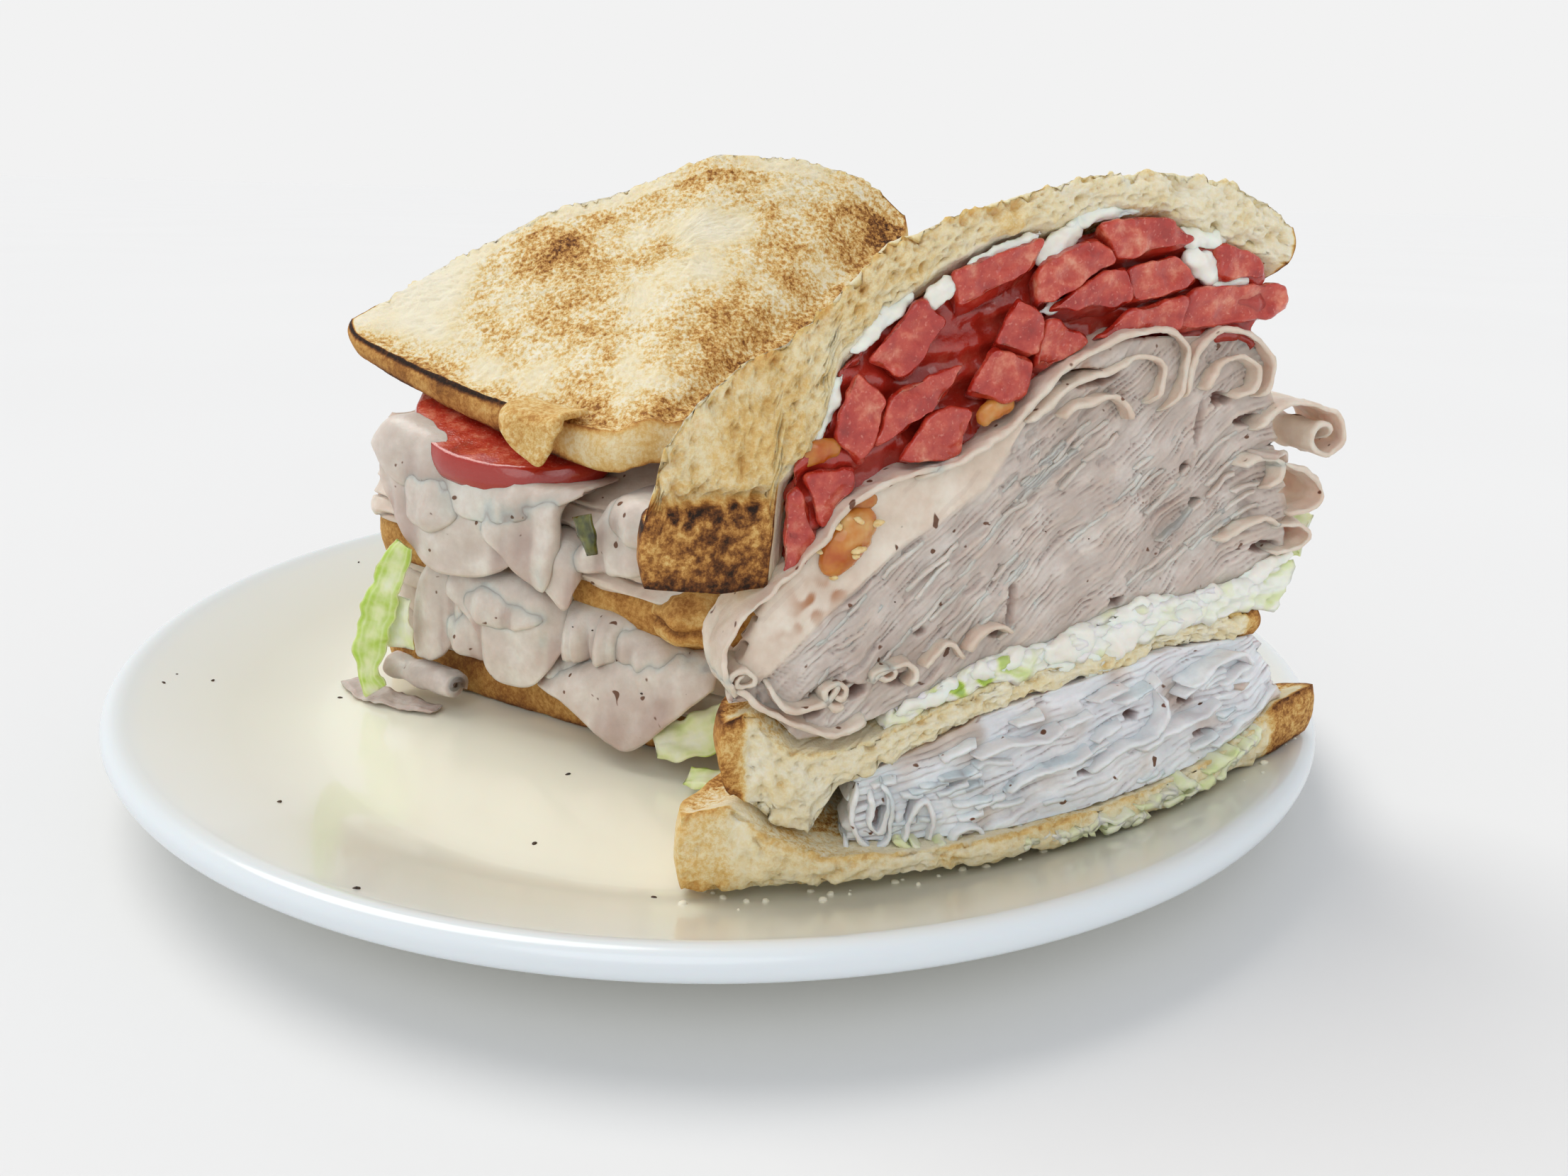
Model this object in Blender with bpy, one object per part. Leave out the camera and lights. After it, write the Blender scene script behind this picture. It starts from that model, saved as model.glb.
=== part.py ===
"""A toasted turkey club sandwich, cut corner to corner, with both halves on a round china plate.

Lengths are in millimetres until mesh_object() turns them into metres. +Z is up, and the origin is
the middle of the plate's foot, on the table. A half slice has its own plane axes: u runs along its
cut edge and n runs in from the cut edge to the loaf corner.
"""

import math
import random

import bmesh
import bpy
from mathutils import Vector

MM = 0.001

# Driving dimensions
SLICE_SIDE = 110.0
SLICE_CORNER_RADIUS = 14.0
TOAST_THICKNESS = 12.0
TOMATO_THICKNESS = 6.0
LAYER_GAP = 0.5
PLATE_RADIUS = 135.0
PLATE_WELL_RADIUS = 95.0
PLATE_WELL_TOP = 5.5
RIM_SLOPE = 0.425
RIM_HEIGHT = 21.3
BRIDGING = 8.0

# Worked out from them
HALF_DIAGONAL = SLICE_SIDE / math.sqrt(2)
CORNER_CENTRE = HALF_DIAGONAL - SLICE_CORNER_RADIUS * math.sqrt(2)
REACH = CORNER_CENTRE + SLICE_CORNER_RADIUS

# Heights of each interface of the front half where the knife cut it: (u, z) along the cut edge.
FRONT_BOTTOM_THICKNESS = [
    (-72, 14.5), (-63, 16), (-56, 10), (-45, 5.5), (-20, 5), (10, 5.5), (27, 6), (40, 8), (46, 11), (58, 10),
]
FRONT_MIDDLE_UNDERSIDE = [
    (-66, 31), (-62, 22), (-56, 17), (-49, 17), (-44, 25), (-30, 30.5), (-18, 35.5), (-8, 38.5), (20, 44),
    (42, 44.5),
]
FRONT_MIDDLE_TOP = [
    (-66, 39), (-61, 41), (-53, 33), (-45, 32.5), (-38, 33.8), (-20, 40), (-10, 43), (0, 43.5), (20, 48.5),
    (42, 49.5),
]
FRONT_LETTUCE_TOP = [
    (-60, 43), (-52, 35), (-38, 37), (-30, 40), (-20, 45), (-5, 47.5), (8, 52.5), (20, 53.5), (30, 55),
    (46, 58.5),
]
FRONT_HEAP_TOP = [
    (-68, 57), (-57, 61), (-49, 69), (-45, 76), (-35, 79.5), (-27, 80.5), (-20, 84.5), (-14, 88.5),
    (-10, 94), (0, 100), (12, 101), (28, 101), (35, 97), (57, 80),
]
FRONT_LID_UNDERSIDE = [
    (-78, 64), (-66, 62), (-58, 62.5), (-56.5, 79), (-49.5, 88), (-47, 98.5), (-40, 105.5), (-31, 112),
    (-20, 117.5), (-10, 119.5), (0, 122), (8, 122), (20, 118), (36, 113),
]
FRONT_LID_TOP = [
    (-78, 74), (-75, 86), (-70, 92.5), (-63, 98), (-56, 101), (-50, 106), (-40, 115.5), (-30, 119.5),
    (-17, 123.5), (-5, 126.5), (10, 127.5), (22, 126), (30, 123), (36, 119),
]

# Each piece of tomato in the cut face of the front half: four corners (u, z), anticlockwise, and
# how far it reaches into the sandwich.
FRONT_TOMATO = [
    ((14.8, 101.8), (36.6, 104.7), (35.4, 109.8), (17.0, 109.2), 24),
    ((-1.5, 100.8), (14.2, 102.0), (16.0, 107.6), (5.0, 105.2), 20),
    ((-11.3, 105.3), (4.2, 106.2), (2.8, 111.9), (-1.0, 111.6), 20),
    ((5.0, 106.5), (17.4, 110.0), (12.5, 114.3), (3.5, 112.3), 20),
    ((-12.8, 106.1), (0.6, 112.9), (-3.5, 116.9), (-13.5, 112.4), 16),
    ((-27.0, 105.8), (-15.2, 111.8), (-13.0, 116.9), (-28.8, 111.6), 18),
    ((1.3, 113.5), (16.2, 116.6), (9.0, 120.2), (-2.6, 119.4), 16),
    ((22.0, 110.9), (30.2, 110.9), (28.8, 114.2), (20.8, 116.2), 14),
    ((-42.6, 98.4), (-36.0, 95.2), (-29.4, 103.8), (-34.2, 107.2), 16),
    ((-47.6, 86.6), (-42.8, 81.8), (-38.9, 91.5), (-44.4, 96.6), 12),
    ((-40.6, 84.4), (-29.6, 90.8), (-25.3, 97.6), (-37.6, 93.2), 18),
    ((-36.6, 81.7), (-25.4, 81.9), (-23.5, 89.9), (-30.2, 89.7), 16),
    ((-55.6, 63.4), (-49.8, 69.6), (-53.4, 78.2), (-55.2, 77.0), 14),
    ((-49.0, 71.4), (-44.6, 77.4), (-44.4, 81.0), (-52.4, 80.6), 12),
    ((-24.6, 92.4), (-14.2, 90.9), (-13.2, 97.6), (-20.9, 99.4), 18),
    ((-20.4, 100.2), (-12.9, 98.3), (-11.8, 104.4), (-16.9, 107.4), 18),
    ((-12.4, 96.6), (-9.6, 96.4), (-2.4, 100.6), (-11.0, 104.2), 20),
]

# The rear half's top toast along its own cut edge: its height, and how far down its underside is.
REAR_LID_TOP = [(-67, 118), (-55, 127), (-40, 130.5), (-20, 131), (0, 122.5), (20, 117), (45, 104), (67, 91)]
REAR_LID_THICKNESS = [(-67, -9), (-40, -12), (10, -12), (35, -10), (56, -8), (67, -4)]


def clear_scene():
    for obj in list(bpy.data.objects):
        bpy.data.objects.remove(obj)


def material(name, colour, roughness):
    made = bpy.data.materials.new(name)
    made.use_nodes = True
    shader = made.node_tree.nodes["Principled BSDF"]
    shader.inputs["Base Color"].default_value = (*colour, 1.0)
    shader.inputs["Roughness"].default_value = roughness
    return made


class HalfSlice:
    """Where a half slice lies: the middle of its cut edge, the way that edge runs, half its length
    and how far away the loaf corner is."""

    def __init__(self, mid_x, mid_y, turn_deg, half_length=REACH, depth=REACH, bow=0.0):
        self.mid = (mid_x, mid_y)
        self.turn_deg = turn_deg
        self.bow = bow
        self.cos, self.sin = math.cos(math.radians(turn_deg)), math.sin(math.radians(turn_deg))
        self.half_length, self.depth = half_length, depth

    def place(self, u, n):
        return self.mid[0] + u * self.cos - n * self.sin, self.mid[1] + u * self.sin + n * self.cos

    def local(self, x, y):
        dx, dy = x - self.mid[0], y - self.mid[1]
        return dx * self.cos + dy * self.sin, dy * self.cos - dx * self.sin

    def spanning(self, left, right, depth=REACH, bow=0.0):
        """A slice on the same cut line that reaches from left to right along it. Its cut edge is
        pressed out by the bow in the middle."""
        x, y = self.place((left + right) / 2, 0.0)
        return HalfSlice(x, y, self.turn_deg, (right - left) / 2, depth, bow)

    def outline(self, cut_steps=14, leg_steps=5, arc_steps=3):
        """Points round the slice, anticlockwise from the left end of its cut edge."""
        points = [(-REACH + 2 * REACH * i / cut_steps, 0.0) for i in range(cut_steps + 1)]
        radius, skew = SLICE_CORNER_RADIUS, SLICE_CORNER_RADIUS / math.sqrt(2)

        def arc(centre_u, centre_n, start_deg, end_deg, steps):
            for i in range(1, steps + 1):
                a = math.radians(start_deg + (end_deg - start_deg) * i / steps)
                points.append((centre_u + radius * math.cos(a), centre_n + radius * math.sin(a)))

        def leg(end_u, end_n):
            start_u, start_n = points[-1]
            for i in range(1, leg_steps + 1):
                f = i / leg_steps
                points.append((start_u + (end_u - start_u) * f, start_n + (end_n - start_n) * f))

        arc(CORNER_CENTRE, 0.0, 0, 45, arc_steps)
        leg(skew, CORNER_CENTRE + skew)
        arc(0.0, CORNER_CENTRE, 45, 135, arc_steps + 1)
        leg(-CORNER_CENTRE - skew, skew)
        arc(-CORNER_CENTRE, 0.0, 135, 180, arc_steps)
        grow_u, grow_n = self.half_length / REACH, self.depth / REACH

        def pressed(u, n):
            return n * grow_n - (self.bow * (1 - (u / REACH) ** 2) if n == 0 else 0.0)

        return [self.place(u * grow_u, pressed(u, n)) for u, n in points[:-1]]


def along(points, at):
    """The value at a place on the line through (place, value) points."""
    at = min(max(at, points[0][0]), points[-1][0])
    (x0, y0), (x1, y1) = next(pair for pair in zip(points, points[1:]) if at <= pair[1][0])
    return y0 + (y1 - y0) * (at - x0) / (x1 - x0)


def draped(half, cut_heights, corner_height, bow=0.0):
    """A surface stretched from heights along the cut edge to one height at the loaf corner."""

    def height(x, y):
        u, n = half.local(x, y)
        share = min(n / half.depth, 0.93)
        spread = along(cut_heights, u / (1 - share))
        return spread * (1 - share) + corner_height * share + 4 * bow * max(share, 0) * (1 - share)

    return height


def raised(surface, by):
    """A surface moved up by a number, or by another surface."""
    if callable(by):
        return lambda x, y: surface(x, y) + by(x, y)
    return lambda x, y: surface(x, y) + by


def clear_of(surface, other, by):
    """A surface that stays at least so far above another one."""
    return lambda x, y: max(surface(x, y), other(x, y) + by)


def plate_bed(x, y):
    """The height of the underside of food that has settled on the plate."""
    over = (math.hypot(x, y) - PLATE_WELL_RADIUS) / BRIDGING
    soft_rise = BRIDGING * (math.log1p(math.exp(-abs(over))) + max(over, 0.0))
    return PLATE_WELL_TOP + 0.6 + RIM_SLOPE * soft_rise


def outward_normals(outline):
    """The unit outward direction at each point of an anticlockwise outline."""
    normals = []
    for i in range(len(outline)):
        before, after = outline[i - 1], outline[(i + 1) % len(outline)]
        dx, dy = after[0] - before[0], after[1] - before[1]
        length = math.hypot(dx, dy)
        normals.append((dy / length, -dx / length))
    return normals


def mesh_object(name, bm, finish, smooth_deg=35, triangles=False):
    bmesh.ops.remove_doubles(bm, verts=bm.verts, dist=1e-3)
    if triangles:
        bmesh.ops.triangulate(bm, faces=bm.faces)
    bmesh.ops.recalc_face_normals(bm, faces=bm.faces)
    bmesh.ops.scale(bm, vec=(MM, MM, MM), verts=bm.verts)
    mesh = bpy.data.meshes.new(name)
    bm.to_mesh(mesh)
    bm.free()
    mesh.materials.append(finish)
    mesh.shade_smooth()
    mesh.set_sharp_from_angle(angle=math.radians(smooth_deg))
    obj = bpy.data.objects.new(name, mesh)
    bpy.context.scene.collection.objects.link(obj)
    return obj


def slab(low_outline, high_outline, lower, upper, rings=3, levels=2, bulge=None):
    """A closed layer between two surfaces, from one outline at its underside to another on top.
    bulge(t, i) moves point i of the side wall outwards at the height share t."""
    bm = bmesh.new()
    count = len(low_outline)
    normals = outward_normals(low_outline)

    def face_ring(outline, surface):
        centre = (sum(p[0] for p in outline) / count, sum(p[1] for p in outline) / count)
        loops = []
        for r in range(1, rings + 1):
            f = (r / rings) ** 0.8
            ring = [(centre[0] + (x - centre[0]) * f, centre[1] + (y - centre[1]) * f) for x, y in outline]
            loops.append([bm.verts.new((x, y, surface(x, y))) for x, y in ring])
        hub = bm.verts.new((*centre, surface(*centre)))
        for i in range(count):
            bm.faces.new((hub, loops[0][i], loops[0][(i + 1) % count]))
        for inner, outer in zip(loops, loops[1:]):
            for i in range(count):
                j = (i + 1) % count
                bm.faces.new((inner[i], outer[i], outer[j], inner[j]))
        return loops[-1]

    wall = [face_ring(low_outline, lower)]
    for level in range(1, levels + 1):
        t = level / (levels + 1)
        loop = []
        for i in range(count):
            (ax, ay), (bx, by) = low_outline[i], high_outline[i]
            out = bulge(t, i) if bulge else 0.0
            x, y = ax + (bx - ax) * t + normals[i][0] * out, ay + (by - ay) * t + normals[i][1] * out
            z = lower(ax, ay) + (upper(bx, by) - lower(ax, ay)) * t
            loop.append(bm.verts.new((x, y, z)))
        wall.append(loop)
    wall.append(face_ring(high_outline, upper))
    for below, above in zip(wall, wall[1:]):
        for i in range(count):
            j = (i + 1) % count
            bm.faces.new((below[i], below[j], above[j], above[i]))
    return bm


def make_plate(finish):
    """Turned china plate: a flat well, a sloping rim with a rolled lip, and a foot ring."""
    profile = [
        (0.0, PLATE_WELL_TOP),
        (PLATE_WELL_RADIUS - 4, PLATE_WELL_TOP),
        (PLATE_WELL_RADIUS + 3, PLATE_WELL_TOP + 1.3),
        (PLATE_WELL_RADIUS + 12, PLATE_WELL_TOP + 4.6),
        (PLATE_RADIUS - 7, RIM_HEIGHT - 1.8),
        (PLATE_RADIUS - 3.5, RIM_HEIGHT),
        (PLATE_RADIUS - 1, RIM_HEIGHT - 0.7),
        (PLATE_RADIUS, RIM_HEIGHT - 3.0),
        (PLATE_RADIUS - 1.2, RIM_HEIGHT - 5.8),
        (PLATE_RADIUS - 5, RIM_HEIGHT - 7.2),
        (PLATE_WELL_RADIUS + 8, 3.8),
        (PLATE_WELL_RADIUS - 7, 1.9),
        (PLATE_WELL_RADIUS - 9, 0.0),
        (PLATE_WELL_RADIUS - 15, 0.0),
        (PLATE_WELL_RADIUS - 17, 2.0),
        (0.0, 2.0),
    ]
    bm = bmesh.new()
    line = [bm.verts.new((r, 0.0, z)) for r, z in profile]
    edges = [bm.edges.new(pair) for pair in zip(line, line[1:])]
    bmesh.ops.spin(
        bm, geom=line + edges, cent=(0, 0, 0), axis=(0, 0, 1), angle=math.tau, steps=56, use_duplicate=False
    )
    return mesh_object("plate", bm, finish)


def toast(name, half, lower, upper, finish, seed):
    """A half slice of toast: a rounded crust outside and a torn, uneven crumb along the cut."""
    rng = random.Random(seed)
    outline = half.outline()
    on_cut = [half.local(x, y)[1] < 0.5 for x, y in outline]

    def bulge(t, i):
        return rng.uniform(-0.5, 0.7) if on_cut[i] else 1.5 * math.sin(math.pi * t)

    return mesh_object(name, slab(outline, outline, lower, upper, rings=3, levels=2, bulge=bulge), finish)


def lobe(half, lower, upper, u, n, z, facing_deg, reach, width, height, lean=1.5, roll_deg=0.0):
    """One fold of sliced meat: a flattened lobe that sticks out of a heap, between two surfaces."""
    bm = bmesh.new()
    bmesh.ops.create_uvsphere(bm, u_segments=9, v_segments=6, radius=1.0)
    facing, roll = math.radians(facing_deg), math.radians(roll_deg)
    for v in bm.verts:
        side, up = v.co.y * width / 2, v.co.z * height / 2
        side, up = side * math.cos(roll) - up * math.sin(roll), side * math.sin(roll) + up * math.cos(roll)
        forth = v.co.x * reach - lean * v.co.z
        pu = u + math.cos(facing) * forth - math.sin(facing) * side
        pn = n + math.sin(facing) * forth + math.cos(facing) * side
        x, y = half.place(pu, pn)
        low, high = lower(x, y), upper(x, y)
        middle, room = (low + high) / 2, max((high - low) / 2 - 1.0, 1.0)
        v.co = Vector((x, y, middle + room * math.tanh((z + up - middle) / room)))
    return bm


def fused(core, lobes, finish):
    """The core with every lobe joined to it by one Boolean union."""
    group = bpy.data.collections.new(core.name + "_folds")
    bpy.context.scene.collection.children.link(group)
    helpers = []
    for i, bm in enumerate(lobes):
        helper = mesh_object(f"{core.name}_fold_{i}", bm, finish, triangles=True)
        bpy.context.scene.collection.objects.unlink(helper)
        group.objects.link(helper)
        helpers.append(helper)
    union = core.modifiers.new("folds", "BOOLEAN")
    union.operation = "UNION"
    union.operand_type = "COLLECTION"
    union.collection = group
    union.solver = "MANIFOLD"
    bpy.context.view_layer.update()
    joined = bpy.data.meshes.new_from_object(core.evaluated_get(bpy.context.evaluated_depsgraph_get()))
    core.modifiers.remove(union)
    core.data = joined
    for helper in helpers:
        bpy.data.objects.remove(helper)
    bpy.data.collections.remove(group)
    return core


def turkey(name, low_half, high_half, lower, upper, finish, folds, seed, levels=6, relief=1.2):
    """A heap of folded turkey slices. The slices' edges are ridges round its side, and folds hang out."""
    rng = random.Random(seed)
    phases = [rng.uniform(0, math.tau) for _ in range(levels + 2)]
    low_outline, high_outline = low_half.outline(), high_half.outline()
    on_cut = [low_half.local(x, y)[1] < 2.0 for x, y in low_outline]

    def bulge(t, i):
        level = round(t * (levels + 1))
        wave = 0.6 * math.sin(phases[level] + 1.1 * i) + (0.5 if level % 2 else -0.5)
        return wave * (0.35 if on_cut[i] else relief)

    heap = slab(low_outline, high_outline, lower, upper, 3, levels, bulge)
    core = mesh_object(name, heap, finish, triangles=True)
    return fused(core, [lobe(lower=lower, upper=upper, **fold) for fold in folds], finish)


def side_folds(half, lower, upper, places, seed):
    """Folds along the crust sides. A place is (side, share, height share): side 1 or -1 is the leg
    at the right or left end of the cut, and share runs from the cut to the loaf corner."""
    rng = random.Random(seed)
    folds = []
    for side, share, rise in places:
        u, n = side * half.half_length * 0.93 * (1 - share), half.depth * 0.93 * share + 4.0
        low, high = lower(*half.place(u, n)), upper(*half.place(u, n))
        room = min(rise, 1 - rise) * (high - low)
        folds.append(
            {
                "half": half,
                "u": u,
                "n": n,
                "z": low + rise * (high - low),
                "facing_deg": 45 if side > 0 else 135,
                "reach": rng.uniform(6.5, 8.5),
                "width": rng.uniform(20, 30),
                "height": min(rng.uniform(13, 19), 1.8 * room),
                "lean": rng.uniform(0.8, 2.2),
                "roll_deg": rng.uniform(-8, 8),
            }
        )
    return folds


def tomato_piece(name, half, quad, reach, finish):
    """A piece of tomato slice: its sawn end shows in the cut face, and it narrows to a rounded back."""
    bm = bmesh.new()
    apex_z = 66.0
    centre = (sum(p[0] for p in quad) / 4, sum(p[1] for p in quad) / 4)
    ring = []
    for i, (u, z) in enumerate(quad):
        for other in (quad[i - 1], quad[(i + 1) % 4]):
            ring.append((u + (other[0] - u) * 0.12, z + (other[1] - z) * 0.12))
    loops = []
    steps = ((-0.8, 0.94), (0.6, 1.0), (reach * 0.5, 0.86), (reach * 0.85, 0.62), (reach, 0.38))
    for depth, narrowing in steps:
        share = depth / half.depth
        loop = []
        for u, z in ring:
            pu = (centre[0] + (u - centre[0]) * narrowing) * (1 - share)
            drawn_z = z if narrowing > 0.9 else centre[1] + (z - centre[1]) * 0.92
            pz = drawn_z * (1 - share) + apex_z * share
            loop.append(bm.verts.new((*half.place(pu, depth), pz)))
        loops.append(loop)
    for near, far in zip(loops, loops[1:]):
        for i in range(8):
            j = (i + 1) % 8
            bm.faces.new((near[i], near[j], far[j], far[i]))
    bm.faces.new(loops[0])
    bm.faces.new(loops[-1])
    return mesh_object(name, bm, finish, smooth_deg=50)


def tomato_round(name, x, y, radius, lower, upper, finish):
    """A whole slice of tomato lying flat under the toast."""
    angles = [math.tau * i / 24 for i in range(24)]
    outline = [(x + radius * math.cos(angle), y + radius * math.sin(angle)) for angle in angles]
    return mesh_object(name, slab(outline, outline, lower, upper, 2, 1, lambda t, i: 0.9), finish)


def ribbon(name, spine, widths, across, thickness, finish, ruffle=0.0, columns=3, seed=0):
    """A thin wavy sheet along a line of points, both faces split into triangles the same way."""
    rng = random.Random(seed)
    phase = rng.uniform(0, math.tau)
    bm = bmesh.new()
    points = [Vector(p) for p in spine]
    sheets = []
    for sign in (1, -1):
        rows = []
        for i, point in enumerate(points):
            along = (points[min(i + 1, len(points) - 1)] - points[max(i - 1, 0)]).normalized()
            side = Vector(across)
            side = (side - along * side.dot(along)).normalized()
            facing = along.cross(side)
            row = []
            for c in range(columns):
                s = c / (columns - 1) * 2 - 1
                lift = ruffle * math.sin(phase + 1.9 * i + 2.4 * s) + sign * thickness / 2
                row.append(bm.verts.new(point + side * (s * widths[i] / 2) + facing * lift))
            rows.append(row)
        sheets.append(rows)
    last_row, last_column = len(points) - 1, columns - 1
    for rows in sheets:
        for i in range(last_row):
            for c in range(last_column):
                a, b, d, e = rows[i][c], rows[i][c + 1], rows[i + 1][c + 1], rows[i + 1][c]
                bm.faces.new((a, b, d))
                bm.faces.new((a, d, e))
    rim = [(0, c) for c in range(last_column)] + [(i, last_column) for i in range(last_row)]
    rim += [(last_row, c) for c in range(last_column, 0, -1)] + [(i, 0) for i in range(last_row, 0, -1)]
    for k, (i, c) in enumerate(rim):
        i2, c2 = rim[(k + 1) % len(rim)]
        bm.faces.new((sheets[0][i][c], sheets[0][i2][c2], sheets[1][i2][c2]))
        bm.faces.new((sheets[0][i][c], sheets[1][i2][c2], sheets[1][i][c]))
    return mesh_object(name, bm, finish, smooth_deg=60)


def rolled_scrap(name, start, end, radius, finish):
    """A rolled-up scrap of turkey with open, dished ends."""
    bm = bmesh.new()
    a, b = Vector(start), Vector(end)
    along = (b - a).normalized()
    side = along.cross(Vector((0, 0, 1))).normalized()
    up = side.cross(along)
    sections = [(2.5, 0.45), (0.0, 0.62), (0.0, 0.95), (5.0, 1.0), (11.0, 0.93)]
    length = (b - a).length
    stations = [(s, r) for s, r in sections] + [(length - s, r) for s, r in reversed(sections[:4])]
    loops = []
    for distance, share in stations:
        loop = []
        for k in range(12):
            angle = math.tau * k / 12
            wobble = 1 + 0.07 * math.sin(3 * angle + distance)
            offset = side * math.cos(angle) + up * math.sin(angle)
            loop.append(bm.verts.new(a + along * distance + offset * (radius * share * wobble)))
        loops.append(loop)
    for near, far in zip(loops, loops[1:]):
        for i in range(12):
            j = (i + 1) % 12
            bm.faces.new((near[i], near[j], far[j], far[i]))
    bm.faces.new(loops[0])
    bm.faces.new(loops[-1])
    return mesh_object(name, bm, finish, smooth_deg=50)


def front_half(bread, meat, tomato, leaf):
    """The half that shows its cut face."""
    cut = HalfSlice(62.2, -78.2, 17.5)
    bottom_top = raised(plate_bed, draped(cut, FRONT_BOTTOM_THICKNESS, TOAST_THICKNESS))
    middle_low = clear_of(draped(cut, FRONT_MIDDLE_UNDERSIDE, 33.0), bottom_top, 3 * LAYER_GAP)
    middle_top = clear_of(draped(cut, FRONT_MIDDLE_TOP, 45.0), middle_low, 4.0)
    lettuce_top = clear_of(draped(cut, FRONT_LETTUCE_TOP, 48.0), middle_top, 1.5)
    heap_top = draped(cut, FRONT_HEAP_TOP, 64.0)
    lid_low = clear_of(draped(cut, FRONT_LID_UNDERSIDE, 68.0), heap_top, 1.5)
    lid_top = clear_of(draped(cut, FRONT_LID_TOP, 80.0), lid_low, 5.0)

    toast("front_bottom_toast", cut.spanning(-72, 58, bow=9), plate_bed, bottom_top, bread, seed=1)
    low, high = cut.spanning(-42, 50, 70, bow=7), cut.spanning(-40, 41, 67, bow=3)
    lower, upper = raised(bottom_top, 5 * LAYER_GAP), raised(middle_low, -5 * LAYER_GAP)
    places = [(1, 0.15, 0.5), (1, 0.4, 0.45), (1, 0.7, 0.5), (-1, 0.35, 0.5), (-1, 0.65, 0.5)]
    folds = side_folds(low, lower, upper, places, 2)
    turkey("front_lower_turkey", low, high, lower, upper, meat, folds, 3, levels=4)
    toast("front_middle_toast", cut.spanning(-65, 41, 70, bow=2), middle_low, middle_top, bread, seed=4)
    lower, upper = raised(middle_top, 2 * LAYER_GAP), raised(lettuce_top, -2 * LAYER_GAP)
    low, high = cut.spanning(-30, 43, 66, bow=1), cut.spanning(-30, 46, 66, bow=1)
    lettuce = slab(low.outline(), high.outline(), lower, clear_of(upper, lower, 1.0), 3, 1)
    mesh_object("front_lettuce", lettuce, leaf)

    low, high = cut.spanning(-64, 46, 72), cut.spanning(-58, 34, 66)
    lower, upper = raised(lettuce_top, LAYER_GAP), raised(heap_top, -LAYER_GAP)
    places = [(1, 0.3, 0.4), (1, 0.5, 0.62), (1, 0.72, 0.4)]
    places += [(-1, 0.22, 0.5), (-1, 0.45, 0.4), (-1, 0.7, 0.55)]
    folds = side_folds(low, lower, heap_top, places, 5)
    folds += [
        {"half": cut, "u": 42, "n": 8, "z": 81, "facing_deg": 4, "reach": 19, "width": 13, "height": 12},
        {"half": cut, "u": 27, "n": 9, "z": 94, "facing_deg": 5, "reach": 9, "width": 16, "height": 13},
        {"half": cut, "u": 41, "n": 6, "z": 70, "facing_deg": 2, "reach": 9, "width": 14, "height": 10},
        {"half": cut, "u": -60, "n": 5, "z": 55, "facing_deg": 176, "reach": 8, "width": 12, "height": 11},
        {"half": cut, "u": -61, "n": 5, "z": 47, "facing_deg": 184, "reach": 8, "width": 11, "height": 8},
    ]
    turkey("front_upper_turkey", low, high, lower, upper, meat, folds, 6, levels=7)
    for i, (*quad, reach) in enumerate(FRONT_TOMATO, 1):
        tomato_piece(f"front_tomato_{i}", cut, quad, reach, tomato)
    toast("front_top_toast", cut.spanning(-78, 36, 66), lid_low, lid_top, bread, seed=7)
    edge = [(*cut.place(u, n), 62.0) for u, n in ((53.5, 4), (53.0, 10), (48.5, 18), (42.0, 26))]
    ribbon("front_leaf", edge, [9, 12, 12, 8], (0.1, 0, 1), 1.4, leaf, ruffle=0.9, seed=8)


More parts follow.
